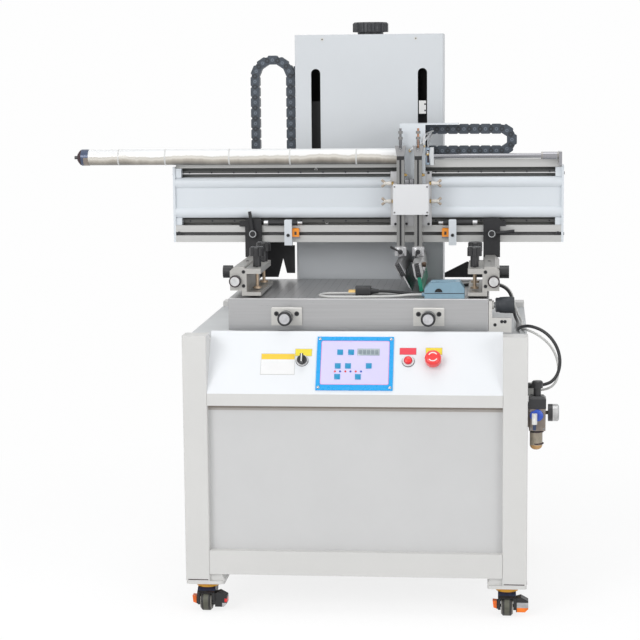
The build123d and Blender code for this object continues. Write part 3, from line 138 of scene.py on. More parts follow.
def ring_mask_group():
    """1 between two radii about an axis through Centre; Plane is 0 along the axis and 1 across it."""
    group = bpy.data.node_groups.new("inside_ring", "ShaderNodeTree")
    for label in ("Vector", "Centre", "Plane"):
        group.interface.new_socket(label, in_out="INPUT", socket_type="NodeSocketVector")
    for label in ("Inner", "Outer"):
        group.interface.new_socket(label, in_out="INPUT", socket_type="NodeSocketFloat")
    group.interface.new_socket("Mask", in_out="OUTPUT", socket_type="NodeSocketFloat")
    enter = group.nodes.new("NodeGroupInput")
    leave = group.nodes.new("NodeGroupOutput")
    offset = group.nodes.new("ShaderNodeVectorMath")
    offset.operation = "SUBTRACT"
    flat = group.nodes.new("ShaderNodeVectorMath")
    flat.operation = "MULTIPLY"
    length = group.nodes.new("ShaderNodeVectorMath")
    length.operation = "LENGTH"
    group.links.new(enter.outputs["Vector"], offset.inputs[0])
    group.links.new(enter.outputs["Centre"], offset.inputs[1])
    group.links.new(offset.outputs["Vector"], flat.inputs[0])
    group.links.new(enter.outputs["Plane"], flat.inputs[1])
    group.links.new(flat.outputs["Vector"], length.inputs[0])
    outside = group.nodes.new("ShaderNodeMath")
    outside.operation = "GREATER_THAN"
    within = group.nodes.new("ShaderNodeMath")
    within.operation = "LESS_THAN"
    both = group.nodes.new("ShaderNodeMath")
    both.operation = "MULTIPLY"
    group.links.new(length.outputs["Value"], outside.inputs[0])
    group.links.new(enter.outputs["Inner"], outside.inputs[1])
    group.links.new(length.outputs["Value"], within.inputs[0])
    group.links.new(enter.outputs["Outer"], within.inputs[1])
    group.links.new(outside.outputs[0], both.inputs[0])
    group.links.new(within.outputs[0], both.inputs[1])
    group.links.new(both.outputs[0], leave.inputs["Mask"])
    return group


mottle = value_group("mottle", stretched((1.0, 1.0, 1.0)))
grain_x = value_group("grain_x", stretched((0.02, 1.0, 1.0)))
grain_y = value_group("grain_y", stretched((1.0, 0.02, 1.0)))
grain_z = value_group("grain_z", stretched((1.0, 1.0, 0.02)))
inside_box = box_mask_group()
inside_ring = ring_mask_group()


def spot(x, y, z):
    """A place in metres from millimetres: across, back from the front of the posts, and up."""
    return Vector((x, y - 375.0, z)) / 1000.0


def box_zone(color, roughness, metallic, low, high):
    return (color, roughness, metallic, {"box": (spot(*low), spot(*high))})


def ring_zone(color, roughness, metallic, centre, axis, inner, outer, low=None, high=None):
    plane = [1.0, 1.0, 1.0]
    plane["XYZ".index(axis)] = 0.0
    masks = {"ring": (spot(*centre), plane, inner / 1000.0, outer / 1000.0)}
    if low:
        masks["box"] = (spot(*low), spot(*high))
    return (color, roughness, metallic, masks)


def zone_mask(nodes, links, where, masks):
    outputs = []
    if "box" in masks:
        box = nodes.new("ShaderNodeGroup")
        box.node_tree = inside_box
        box.inputs["Low"].default_value, box.inputs["High"].default_value = masks["box"]
        links.new(where, box.inputs["Vector"])
        outputs.append(box.outputs["Mask"])
    if "ring" in masks:
        ring = nodes.new("ShaderNodeGroup")
        ring.node_tree = inside_ring
        for label, value in zip(("Centre", "Plane", "Inner", "Outer"), masks["ring"]):
            ring.inputs[label].default_value = value
        links.new(where, ring.inputs["Vector"])
        outputs.append(ring.outputs["Mask"])
    if len(outputs) == 1:
        return outputs[0]
    product = nodes.new("ShaderNodeMath")
    product.operation = "MULTIPLY"
    links.new(outputs[0], product.inputs[0])
    links.new(outputs[1], product.inputs[1])
    return product.outputs[0]


def finish_material(name, color, roughness, metallic=0.0, group=None, scale=30.0, vary=0.05, rough_vary=0.08,
                    bump=0.0, bump_scale=900.0, coat=0.0, zones=(), pattern=None):
    """A surface whose tone, gloss and relief change a little over the piece; zones are other
    colours on parts of it, some moulded, painted or fitted and some painted shade and highlights, and
    pattern builds a base colour."""
    material, nodes, links, shader = new_material(name)
    group = group or mottle
    shader.inputs["Coat Weight"].default_value = coat
    shader.inputs["Coat Roughness"].default_value = 0.12
    shader.inputs["Metallic"].default_value = metallic
    where = nodes.new("ShaderNodeTexCoord").outputs["Object"]
    gloss = nodes.new("ShaderNodeGroup")
    gloss.node_tree = group
    gloss.inputs["Scale"].default_value = scale * 2.3
    gloss.inputs["Low"].default_value = max(roughness - rough_vary, 0.03)
    gloss.inputs["High"].default_value = min(roughness + rough_vary, 1.0)
    links.new(where, gloss.inputs["Vector"])
    roughness_from, metallic_from = gloss.outputs["Value"], None
    color_from = pattern(nodes, links, where) if pattern else None
    mixed_metal = any(zone[2] != metallic for zone in zones)
    for tone, zone_roughness, zone_metallic, masks in zones:
        mask = zone_mask(nodes, links, where, masks)
        paint = nodes.new("ShaderNodeMix")
        paint.data_type = "RGBA"
        paint.inputs[6].default_value = (*color, 1)
        paint.inputs[7].default_value = (*tone, 1)
        links.new(mask, paint.inputs[0])
        if color_from:
            links.new(color_from, paint.inputs[6])
        color_from = paint.outputs[2]
        rough = nodes.new("ShaderNodeMix")
        rough.inputs[3].default_value = zone_roughness
        links.new(mask, rough.inputs[0])
        links.new(roughness_from, rough.inputs[2])
        roughness_from = rough.outputs[0]
        if mixed_metal:
            metal = nodes.new("ShaderNodeMix")
            metal.inputs[2].default_value = metallic
            metal.inputs[3].default_value = zone_metallic
            links.new(mask, metal.inputs[0])
            if metallic_from:
                links.new(metallic_from, metal.inputs[2])
            metallic_from = metal.outputs[0]
    links.new(roughness_from, shader.inputs["Roughness"])
    if metallic_from:
        links.new(metallic_from, shader.inputs["Metallic"])
    shade = nodes.new("ShaderNodeGroup")
    shade.node_tree = group
    shade.inputs["Scale"].default_value = scale
    shade.inputs["Low"].default_value = 1.0 - vary
    shade.inputs["High"].default_value = 1.0 + vary
    links.new(where, shade.inputs["Vector"])
    tint = nodes.new("ShaderNodeMix")
    tint.data_type = "RGBA"
    tint.blend_type = "MULTIPLY"
    tint.inputs[0].default_value = 1.0
    tint.inputs[6].default_value = (*color, 1)
    if color_from:
        links.new(color_from, tint.inputs[6])
    links.new(shade.outputs["Value"], tint.inputs[7])
    links.new(tint.outputs[2], shader.inputs["Base Color"])
    if bump:
        fine = nodes.new("ShaderNodeGroup")
        fine.node_tree = group
        fine.inputs["Scale"].default_value = bump_scale
        links.new(where, fine.inputs["Vector"])
        raised = nodes.new("ShaderNodeBump")
        raised.inputs["Strength"].default_value = bump
        raised.inputs["Distance"].default_value = 0.0004
        links.new(fine.outputs["Value"], raised.inputs["Height"])
        links.new(raised.outputs["Normal"], shader.inputs["Normal"])
    return material


def soft_line(name, points, radius, material, body):
    """A round flexible line on one smooth spline; the points are in millimetres."""
    curve = bpy.data.curves.new(name, "CURVE")
    curve.dimensions = "3D"
    spline = curve.splines.new("NURBS")
    spline.points.add(len(points) - 1)
    for point, place in zip(spline.points, points):
        point.co = (*spot(*place), 1.0)
    spline.order_u = 3
    spline.use_endpoint_u = True
    curve.resolution_u = 12
    curve.bevel_depth = radius / 1000.0
    curve.bevel_resolution = 4
    curve.use_fill_caps = True
    curve.materials.append(material)
    obj = bpy.data.objects.new(name, curve)
    bpy.context.collection.objects.link(obj)
    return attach(obj, body)


cord_grey = finish_material("grey_cord_sheath", (0.60, 0.60, 0.585), 0.42, vary=0.06, scale=90, bump=0.12)
table_top = 768.3
deck_top = 680.3
switch_radius = 3.0
on_table = table_top + switch_radius
on_deck = deck_top + switch_radius
switch_cord = soft_line("switch_cord", [
    (442, 86, 551), (470, 86, 551), (494, 90, 574), (496, 98, 618), (478, 108, 658), (444, 126, 684),
    (416, 166, 690), (410, 216, on_deck), (407, 284, on_deck), (411, 352, on_deck), (396, 408, 702),
    (378, 456, on_table), (290, 460, on_table), (236, 448, on_table), (220, 404, on_table),
    (216, 346, on_table), (220, 286, on_table), (204, 242, on_table), (158, 232, on_table),
    (96, 235, on_table), (30, 231, on_table), (-36, 235, on_table), (-84, 231, on_table),
    (-104, 194, on_table), (-82, 158, on_table), (-34, 155, on_table), (30, 159, on_table),
    (88, 168, on_table), (128, 178, 775), (158, 178, 775)], switch_radius, cord_grey, "cabinet")
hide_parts("switch_cable")

# Plug cable: black rubber cable, 8 mm thick, held by the gland beside the socket. It runs next
# to the grey cable and ends in the moulded boot of the plug that lies on the table.
cord_black = finish_material("black_cord_sheath", (0.018, 0.018, 0.02), 0.4, vary=0.3, scale=90, bump=0.12)
plug_radius = 4.0
on_table = table_top + plug_radius
on_deck = deck_top + plug_radius
plug_cord = soft_line("plug_cord", [
    (432, 64, 566), (466, 64, 566), (492, 66, 588), (500, 69, 626), (490, 76, 664), (464, 92, 694),
    (428, 116, 706), (404, 156, 698), (398, 212, on_deck), (397, 274, on_deck), (400, 336, on_deck),
    (390, 394, 696), (378, 438, on_table), (272, 436, on_table), (240, 385, on_table),
    (237, 330, on_table), (242, 276, on_table), (222, 228, on_table), (170, 221, on_table),
    (126, 210, on_table), (80, 194, 781.3), (50, 194, 781.3)], plug_radius, cord_black, "cabinet")
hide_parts("plug_cable")


# Room: a white studio with a pale floor that keeps a soft shadow and melts into the backdrop,
# and three soft lamps, in front at both sides and above.
def mesh_object(name, verts, faces, material=None):
    mesh = bpy.data.meshes.new(name)
    mesh.from_pydata(verts, [], faces)
    mesh.update()
    obj = bpy.data.objects.new(name, mesh)
    bpy.context.collection.objects.link(obj)
    if material:
        mesh.materials.append(material)
    return obj


def watched_ray(nodes, links):
    """1 for the rays of the camera, of reflections and of clear material, and 0 for other light."""
    rays = nodes.new("ShaderNodeLightPath")
    seen = rays.outputs["Is Camera Ray"]
    for kind in ("Is Glossy Ray", "Is Transmission Ray"):
        either = nodes.new("ShaderNodeMath")
        either.operation = "MAXIMUM"
        links.new(seen, either.inputs[0])
        links.new(rays.outputs[kind], either.inputs[1])
        seen = either.outputs[0]
    return seen


def studio_surface(name, shadow_share, fade_from, fade_to):
    """Plain white paint for the light, and near white for the camera and for reflections; within
    fade_from metres of the machine the camera also sees shadow_share of the real shading."""
    material, nodes, links, shader = new_material(name)
    shader.inputs["Base Color"].default_value = (0.85, 0.85, 0.85, 1)
    shader.inputs["Roughness"].default_value = 0.9
    shader.inputs["Specular IOR Level"].default_value = 0.1
    far_glow = nodes.new("ShaderNodeEmission")
    far_glow.inputs["Strength"].default_value = 0.99
    near_glow = nodes.new("ShaderNodeEmission")
    near_glow.inputs["Strength"].default_value = 1.02 - shadow_share
    lit = nodes.new("ShaderNodeBsdfDiffuse")
    lit.inputs["Color"].default_value = (shadow_share, shadow_share, shadow_share, 1)
    near = nodes.new("ShaderNodeAddShader")
    links.new(near_glow.outputs[0], near.inputs[0])
    links.new(lit.outputs[0], near.inputs[1])
    distance = nodes.new("ShaderNodeVectorMath")
    distance.operation = "LENGTH"
    links.new(nodes.new("ShaderNodeTexCoord").outputs["Object"], distance.inputs[0])
    fade = nodes.new("ShaderNodeMapRange")
    fade.interpolation_type = "SMOOTHSTEP"
    fade.inputs["From Min"].default_value = fade_from
    fade.inputs["From Max"].default_value = fade_to
    links.new(distance.outputs["Value"], fade.inputs["Value"])
    view = nodes.new("ShaderNodeMixShader")
    links.new(fade.outputs["Result"], view.inputs["Fac"])
    links.new(near.outputs[0], view.inputs[1])
    links.new(far_glow.outputs[0], view.inputs[2])
    whole = nodes.new("ShaderNodeMixShader")
    links.new(watched_ray(nodes, links), whole.inputs["Fac"])
    links.new(shader.outputs[0], whole.inputs[1])
    links.new(view.outputs[0], whole.inputs[2])
    links.new(whole.outputs[0], nodes["Material Output"].inputs["Surface"])
    return material


backdrop = mesh_object("backdrop", [(-9, 9, -0.2), (9, 9, -0.2), (9, 9, 7), (-9, 9, 7)], [(0, 1, 2, 3)],
                       studio_surface("studio_white", 0.3, 0.0, 0.1))
floor = mesh_object("floor", [(-9, -9, 0), (9, -9, 0), (9, 9, 0), (-9, 9, 0)], [(0, 1, 2, 3)],
                    studio_surface("studio_floor", 0.20, 0.7, 2.0))
world = bpy.data.worlds.new("room_light")
world.use_nodes = True
room_nodes, room_links = world.node_tree.nodes, world.node_tree.links
room_nodes["Background"].inputs["Color"].default_value = (0.98, 0.99, 1.0, 1)
room_nodes["Background"].inputs["Strength"].default_value = 0.60
seen_white = room_nodes.new("ShaderNodeBackground")
seen_white.inputs["Color"].default_value = (1, 1, 1, 1)
seen_white.inputs["Strength"].default_value = 1.0
room_mix = room_nodes.new("ShaderNodeMixShader")
room_links.new(watched_ray(room_nodes, room_links), room_mix.inputs["Fac"])
room_links.new(room_nodes["Background"].outputs[0], room_mix.inputs[1])
room_links.new(seen_white.outputs[0], room_mix.inputs[2])
room_links.new(room_mix.outputs[0], room_nodes["World Output"].inputs["Surface"])
bpy.context.scene.world = world
for name, place, size, watts in (("key_light", (-2.4, -4.0, 2.7), 2.2, 76),
                                 ("fill_light", (3.2, -3.8, 1.7), 2.6, 44),
                                 ("top_light", (0.0, -0.5, 4.0), 2.4, 28)):
    light = bpy.data.lights.new(name, "AREA")
    light.energy = watts
    light.size = size
    lamp = bpy.data.objects.new(name, light)
    lamp.location = place
    lamp.rotation_euler = (Vector((0, 0, 0.75)) - Vector(place)).to_track_quat("-Z", "Y").to_euler()
    bpy.context.collection.objects.link(lamp)


# Cabinet: square steel tube welded into a frame, bent sheet panels and a deck sheet, all powder
# coated. A pad is welded under each post, with a slit above it, and small gussets brace the foot.
# Screws hold the side and rear panels.
def dress(node, material):
    mesh = NODES[node].data
    mesh.materials.clear()
    mesh.materials.append(material)


def at(x, y, z, rx=0.0, ry=0.0, rz=0.0):
    """A place in millimetres, with turns in degrees about X, then Y, then Z."""
    turn = Matrix.Rotation(math.radians(rz), 4, "Z") @ Matrix.Rotation(math.radians(ry), 4, "Y")
    return Matrix.Translation((x, y - 375.0, z)) @ turn @ Matrix.Rotation(math.radians(rx), 4, "X")


def circle(bm, radius, z, sides):
    """New points round Z at one height."""
    turns = [2 * math.pi * i / sides for i in range(sides)]
    return [bm.verts.new((radius * math.cos(turn), radius * math.sin(turn), z)) for turn in turns]


def join_loops(bm, lower, upper):
    """Faces between two closed loops of as many points."""
    sides = len(lower)
    for i in range(sides):
        j = (i + 1) % sides
        bm.faces.new((lower[i], lower[j], upper[j], upper[i]))


def slab(x, y, z, bevel=0.0):
    """A rectangular bar about its centre, its edges rounded."""
    def make(bm):
        made = bmesh.ops.create_cube(bm, size=1.0)
        bmesh.ops.scale(bm, vec=(x, y, z), verts=made["verts"])
        if bevel:
            edges = {edge for vert in made["verts"] for edge in vert.link_edges}
            bmesh.ops.bevel(bm, geom=list(edges), offset=bevel, segments=2, affect="EDGES", profile=0.5)
    return make


def turned(*profile, sides=32):
    """A turned shape about Z: pairs of radius and height, from the bottom up."""
    def make(bm):
        loops = [circle(bm, radius, z, sides) for radius, z in profile]
        bm.faces.new(list(reversed(loops[0])))
        for lower, upper in zip(loops, loops[1:]):
            join_loops(bm, lower, upper)
        bm.faces.new(loops[-1])
    return make


def band(inner, outer, height, sides=40):
    """A flat closed ring about Z, from z = 0 up."""
    def make(bm):
        section = [(inner, 0.0), (outer, 0.0), (outer, height), (inner, height)]
        loops = [circle(bm, radius, z, sides) for radius, z in section]
        for lower, upper in zip(loops, loops[1:] + loops[:1]):
            join_loops(bm, lower, upper)
    return make


def disc(radius, height, edge=0.4, sides=32):
    return turned((radius, 0.0), (radius, height - edge), (radius - edge, height), sides=sides)


def prism(outline, thickness):
    """A flat plate with the given outline in XY, anticlockwise, from z = 0 up."""
    def make(bm):
        lower = [bm.verts.new((x, y, 0.0)) for x, y in outline]
        upper = [bm.verts.new((x, y, thickness)) for x, y in outline]
        bm.faces.new(list(reversed(lower)))
        bm.faces.new(upper)
        join_loops(bm, lower, upper)
    return make


def finished(name, body, mesh, angle=40):
    """The object of a mesh: shaded smooth, sharp over the angle, riding with a body."""
    for polygon in mesh.polygons:
        polygon.use_smooth = True
    if angle:
        mesh.set_sharp_from_angle(angle=math.radians(angle))
    obj = bpy.data.objects.new(name, mesh)
    bpy.context.collection.objects.link(obj)
    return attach(obj, body)


def piece(name, body, material, shapes, angle=40):
    """One finished piece of several closed shapes, placed in millimetres, that rides with a body."""
    mesh = bpy.data.meshes.new(name)
    bm = bmesh.new()
    for make, place in shapes:
        before = set(bm.verts)
        make(bm)
        fresh = [vert for vert in bm.verts if vert not in before]
        bmesh.ops.transform(bm, matrix=place, verts=fresh)
    bmesh.ops.scale(bm, vec=(0.001, 0.001, 0.001), verts=bm.verts)
    bmesh.ops.recalc_face_normals(bm, faces=bm.faces)
    bm.to_mesh(mesh)
    bm.free()
    mesh.materials.append(material)
    return finished(name, body, mesh, angle)


def heads_tree():
    """Geometry Nodes: a round head with a hollow of six sides on every point of a mesh."""
    tree = bpy.data.node_groups.new("heads_on_points", "GeometryNodeTree")
    tree.interface.new_socket("Geometry", in_out="INPUT", socket_type="NodeSocketGeometry")
    for label, value in (("Radius", 0.004), ("Height", 0.002), ("Hollow Share", 0.5)):
        socket = tree.interface.new_socket(label, in_out="INPUT", socket_type="NodeSocketFloat")
        socket.default_value = value
    tree.interface.new_socket("Turn", in_out="INPUT", socket_type="NodeSocketVector")
    for label in ("Head Finish", "Hollow Finish"):
        tree.interface.new_socket(label, in_out="INPUT", socket_type="NodeSocketMaterial")
    tree.interface.new_socket("Geometry", in_out="OUTPUT", socket_type="NodeSocketGeometry")
    enter = tree.nodes.new("NodeGroupInput")
    leave = tree.nodes.new("NodeGroupOutput")
    join = tree.nodes.new("GeometryNodeJoinGeometry")
    share = tree.nodes.new("ShaderNodeMath")
    share.operation = "MULTIPLY"
    tree.links.new(enter.outputs["Radius"], share.inputs[0])
    tree.links.new(enter.outputs["Hollow Share"], share.inputs[1])
    taller = tree.nodes.new("ShaderNodeMath")
    taller.operation = "ADD"
    hollow_lift = 0.00012
    taller.inputs[1].default_value = hollow_lift
    tree.links.new(enter.outputs["Height"], taller.inputs[0])
    for sides, radius, height, label in ((20, enter.outputs["Radius"], enter.outputs["Height"],
                                          "Head Finish"),
                                         (6, share.outputs[0], taller.outputs[0], "Hollow Finish")):
        barrel = tree.nodes.new("GeometryNodeMeshCylinder")
        barrel.inputs["Vertices"].default_value = sides
        tree.links.new(radius, barrel.inputs["Radius"])
        tree.links.new(height, barrel.inputs["Depth"])
        half = tree.nodes.new("ShaderNodeMath")
        half.operation = "MULTIPLY"
        half.inputs[1].default_value = 0.5
        tree.links.new(height, half.inputs[0])
        lift = tree.nodes.new("ShaderNodeCombineXYZ")
        tree.links.new(half.outputs[0], lift.inputs["Z"])
        move = tree.nodes.new("GeometryNodeTransform")
        tree.links.new(barrel.outputs["Mesh"], move.inputs["Geometry"])
        tree.links.new(lift.outputs["Vector"], move.inputs["Translation"])
        finish = tree.nodes.new("GeometryNodeSetMaterial")
        tree.links.new(move.outputs["Geometry"], finish.inputs["Geometry"])
        tree.links.new(enter.outputs[label], finish.inputs["Material"])
        tree.links.new(finish.outputs["Geometry"], join.inputs["Geometry"])
    turn = tree.nodes.new("FunctionNodeEulerToRotation")
    tree.links.new(enter.outputs["Turn"], turn.inputs["Euler"])
    spread = tree.nodes.new("GeometryNodeInstanceOnPoints")
    tree.links.new(enter.outputs["Geometry"], spread.inputs["Points"])
    tree.links.new(join.outputs["Geometry"], spread.inputs["Instance"])
    tree.links.new(turn.outputs["Rotation"], spread.inputs["Rotation"])
    real = tree.nodes.new("GeometryNodeRealizeInstances")
    tree.links.new(spread.outputs["Instances"], real.inputs["Geometry"])
    tree.links.new(real.outputs["Geometry"], leave.inputs["Geometry"])
    return tree


heads = heads_tree()
FRONT, UP, RIGHT, LEFT, BACK = (90, 0, 0), (0, 0, 0), (0, 90, 0), (0, -90, 0), (-90, 0, 0)


def screws(name, body, points, radius, height, facing, head, hollow, hollow_share=0.5):
    """Screw heads, plugs or pivots that stand on points given in millimetres."""
    start = mesh_object(name + "_points", [spot(*point) for point in points], [])
    modifier = start.modifiers.new("heads", "NODES")
    modifier.node_group = heads
    values = {"Radius": radius / 1000.0, "Height": height / 1000.0, "Hollow Share": hollow_share,
              "Turn": [math.radians(angle) for angle in facing], "Head Finish": head, "Hollow Finish": hollow}
    for item in heads.interface.items_tree:
        if item.item_type == "SOCKET" and item.in_out == "INPUT" and item.name in values:
            modifier[item.identifier] = values[item.name]
    graph = bpy.context.evaluated_depsgraph_get()
    mesh = bpy.data.meshes.new_from_object(start.evaluated_get(graph), depsgraph=graph)
    bpy.data.objects.remove(start)
    return finished(name, body, mesh)


white_paint = finish_material("warm_white_paint", (0.66, 0.655, 0.64), 0.42, vary=0.025, scale=5, bump=0.10,
                              coat=0.15)
# The front panel's top strip, under the front rail, is painted darker and browner: painted shadow of the
# rail.
panel_paint_with_rail_shadow = finish_material(
    "panel_grey_paint_rail_shadow", (0.60, 0.60, 0.60), 0.46, vary=0.03, scale=4, bump=0.10, coat=0.1,
    zones=[box_zone((0.40, 0.37, 0.345), 0.5, 0.0, (-400, 18, 507), (400, 34, 524)),
           box_zone((0.27, 0.235, 0.20), 0.5, 0.0, (-400, 18, 513), (400, 34, 524))])
deck_paint = finish_material("deck_paint", (0.62, 0.64, 0.65), 0.44, vary=0.03, scale=5, bump=0.10, coat=0.1)
dark_steel = finish_material("dark_steel", (0.06, 0.06, 0.065), 0.35, 0.7, None, 80, 0.2, 0.1)
bright_steel = finish_material("bright_steel", (0.42, 0.42, 0.43), 0.28, 1.0, None, 90, 0.05, 0.08)
# Near black: the real colour of the cylinder's end cap nose, and painted shade where it is laid in the post
# slits and the port recess.
black_and_shade = finish_material("black_finish_and_shade", (0.05, 0.03, 0.035), 0.8, vary=0.2, scale=40)
dress("corner_posts", white_paint)
dress("frame_rails", white_paint)
dress("cabinet_panels", panel_paint_with_rail_shadow)
dress("deck", deck_paint)
# Each slit above a pad is a thin near-black strip on the post: painted shade in the slit.
slits = []
gussets = []
foot_bolts = []
for side in (-1, 1):
    for y, outward in ((0, -1), (750, 1)):
        slits.append((slab(50, 0.8, 2.0, 0.2), at(side * 389, y + outward * 0.3, 83.5)))
    slits += [(slab(0.8, 50, 2.0, 0.2), at(side * 420.3, y, 83.5)) for y in (31, 719)]
    for y in (30, 712):
        corner = [(0, 0), (26, 0), (26, 4), (4, 26), (0, 26)]
        place = at(side * 359.5, y, 79.5, 90, 0, 0)
        if side > 0:
            corner = [(-x, z) for x, z in reversed(corner)]
        gussets.append((prism(corner, 4.0), place))
    foot_bolts += [(side * 340, y, 79.8) for y in (14, 56, 694, 736)]
piece("post_slit_shades", "cabinet", black_and_shade, slits)
piece("post_gussets", "cabinet", white_paint, gussets)
panel_screw_heights = (172, 505)
panel_sides = (("rear", BACK, [(x, 729.9) for x in (-345, 0, 345)]),
               ("left", LEFT, [(-399.9, y) for y in (80, 375, 670)]),
               ("right", RIGHT, [(399.9, y) for y in (80, 375, 670)]))
for panel_side, facing, spots in panel_sides:
    screws(panel_side + "_panel_screws", "cabinet", [(*xy, z) for xy in spots for z in panel_screw_heights],
           4.0, 1.4, facing, bright_steel, dark_steel, 0.5)
screws("post_bolts", "cabinet", foot_bolts, 6.0, 4.0, UP, white_paint, bright_steel, 0.6)

# Casters: 50 mm wheels of black polyurethane in black moulded forks. A yellow swivel ring turns
# under each pad, and an orange and steel brake pedal stands out at the wheel's outer side.
# The ring's top, under the pad, is painted darker, a red-brown band and above it a near-black metallic
# flange: painted shade under the pad.
swivel_paint = finish_material("yellow_swivel_ring", (0.86, 0.42, 0.012), 0.36, vary=0.08, coat=0.2, zones=[
    box_zone((0.60, 0.10, 0.03), 0.4, 0.0, (-450, -10, 66.2), (450, 760, 69.0)),
    box_zone((0.10, 0.09, 0.09), 0.4, 0.6, (-450, -10, 69.0), (450, 760, 73.0))])
dress("swivel_rings", swivel_paint)
caster_xs = {"left": -372, "right": 372}
caster_ys = {"front": 24, "rear": 678}
for end, wheel_y in caster_ys.items():
    for side, x in caster_xs.items():
        place = end + "_" + side
        pedal = [box_zone((0.02, 0.035, 0.07), 0.4, 0.0, (x - 60, -60, 52), (x + 60, 810, 59)),
                 box_zone((0.90, 0.16, 0.01), 0.35, 0.0, (x - 40, -60, 14), (x - 25, 810, 40))]
        if side == "right":
            pedal += [box_zone((0.45, 0.45, 0.46), 0.3, 0.9, (x + 24, -60, 23), (x + 56, 810, 36)),
                      box_zone((0.92, 0.20, 0.01), 0.35, 0.0, (x + 24, -60, 11), (x + 56, 810, 23))]
        else:
            pedal += [box_zone((0.75, 0.02, 0.02), 0.35, 0.0, (x + 46, -60, 24), (x + 56, 810, 33)),
                      box_zone((0.50, 0.50, 0.51), 0.3, 0.9, (x + 40, -60, 11), (x + 56, 810, 22))]
        dress("caster_fork_" + place,
              finish_material("caster_fork_" + place + "_finish", (0.014, 0.014, 0.015), 0.42, vary=0.3,
                              scale=60, bump=0.25, zones=pedal))
        tread = [box_zone((0.10, 0.10, 0.075), 0.5, 0.0, (x - 6, -60, -1), (x + 6, 810, 60))]
        tread += [box_zone((0.42, 0.40, 0.36), 0.45, 0.0, (x + low, -60, -1), (x + low + 1.3, 810, 60))
                  for low in (-13.4, 12.1)]
        dress("caster_wheel_" + place,
              finish_material("caster_wheel_" + place + "_finish", (0.022, 0.021, 0.02), 0.5, vary=0.25,
                              scale=70, bump=0.2, zones=tread))
        pin = (disc(3.2, 4.0, 0.6, 20), at(x + 22, wheel_y, 25, 0, 90, 0))
        piece("axle_pin_" + place, "caster_" + place, bright_steel, [pin])

# Console: one folded steel cover in bright white powder coat, its face leaning back. The control
# panel is a blue frame with a lilac printed film, keys, lamps and a display window behind it.
lean = math.atan2(89.0, 142.0)


def on_console(x, up, off):
    """A place on the leaning face: across, up the slope from its lower edge, and out of the face."""
    return at(x, up * math.sin(lean) - off * math.cos(lean), 551 + up * math.cos(lean) + off * math.sin(lean),
              90 - math.degrees(lean))


def rounded(width, height, radius):
    """The outline of a rounded rectangle about its centre."""
    outline = []
    for corner_x, corner_y, begin in ((1, 1, 0), (-1, 1, 90), (-1, -1, 180), (1, -1, 270)):
        for step in range(5):
            turn = math.radians(begin + 22.5 * step)
            outline.append((corner_x * (width / 2 - radius) + radius * math.cos(turn),
                            corner_y * (height / 2 - radius) + radius * math.sin(turn)))
    return outline


def plate(width, height, radius, thickness):
    return prism(rounded(width, height, radius), thickness)


console_paint = finish_material("console_white_paint", (0.80, 0.82, 0.845), 0.36, vary=0.015, scale=5,
                                bump=0.08, coat=0.2)
frame_blue = finish_material("control_panel_blue", (0.0, 0.36, 0.80), 0.28, vary=0.03, scale=20, coat=0.4)
film_lilac = finish_material("control_film_lilac", (0.66, 0.62, 0.90), 0.34, vary=0.02, scale=25, coat=0.3)
film_pink = finish_material("control_film_border", (0.80, 0.35, 0.58), 0.34, vary=0.03, scale=25, coat=0.3)
key_teal = finish_material("key_teal", (0.0, 0.27, 0.52), 0.32, vary=0.06, scale=60, bump=0.1, coat=0.3)
lcd_green = finish_material("display_window", (0.36, 0.43, 0.46), 0.2, vary=0.05, scale=70, coat=0.6)
lcd_cell = finish_material("display_cell", (0.22, 0.27, 0.30), 0.25, vary=0.05, scale=70, coat=0.6)
lamp_red = finish_material("lamp_red", (0.70, 0.02, 0.02), 0.2, vary=0.05, scale=60, coat=0.6)
lamp_blue = finish_material("lamp_blue", (0.01, 0.07, 0.45), 0.2, vary=0.05, scale=60, coat=0.6)
label_yellow = finish_material("plate_yellow", (0.85, 0.70, 0.05), 0.4, vary=0.03, scale=40)
label_red = finish_material("plate_red", (0.80, 0.06, 0.09), 0.4, vary=0.03, scale=40)
label_amber = finish_material("plate_amber", (0.85, 0.58, 0.05), 0.4, vary=0.03, scale=40)
label_white = finish_material("plate_white", (0.82, 0.82, 0.82), 0.4, vary=0.03, scale=40)
label_edge = finish_material("plate_edge", (0.42, 0.41, 0.40), 0.5, vary=0.05, scale=40)
brass = finish_material("brass", (0.48, 0.33, 0.13), 0.28, 1.0, None, 80, 0.08, 0.08)
dress("console", console_paint)
dress("control_panel", frame_blue)
piece("film_border", "cabinet", film_pink,
              [(plate(167.4, 116.4, 4.5, 0.35), on_console(0, 83.5, 1.95))])
piece("film_field", "cabinet", film_lilac, [(plate(164.6, 113.6, 3.5, 0.35), on_console(0, 83.5, 2.2))])
keys = [(-37, 111), (-10, 111), (-41.6, 74.5), (-16.6, 74.5), (34.3, 75), (-42, 46), (8.6, 46)]
piece("control_keys", "cabinet", key_teal,
      [(slab(14.4, 14.4, 1.6, 0.5), on_console(x, up, 2.9)) for x, up in keys])
piece("display_window", "cabinet", lcd_green, [(slab(54.7, 18.4, 1.0, 0.3), on_console(32.6, 111.8, 2.9))])
piece("display_cells", "cabinet", lcd_cell,
      [(slab(7.6, 12.4, 0.4, 0.1), on_console(12.4 + 10.1 * cell, 111.4, 3.5)) for cell in range(5)])
for name, finish, first in (("status_lamps_red", lamp_red, 0), ("status_lamps_blue", lamp_blue, 1)):
    piece(name, "cabinet", finish,
          [(turned((2.7, 0.0), (2.5, 1.0), (1.5, 1.7), (0.4, 1.9), sides=20),
            on_console(-48 + 12.74 * lamp, 60, 2.4)) for lamp in range(first, 6, 2)])
piece("panel_screws", "cabinet", bright_steel,
      [(turned((3.6, 0.0), (3.4, 1.2), (2.2, 2.0), sides=24), on_console(x, up, 2.9))
       for x in (-87.5, 87.5) for up in (17.5, 146.0)])
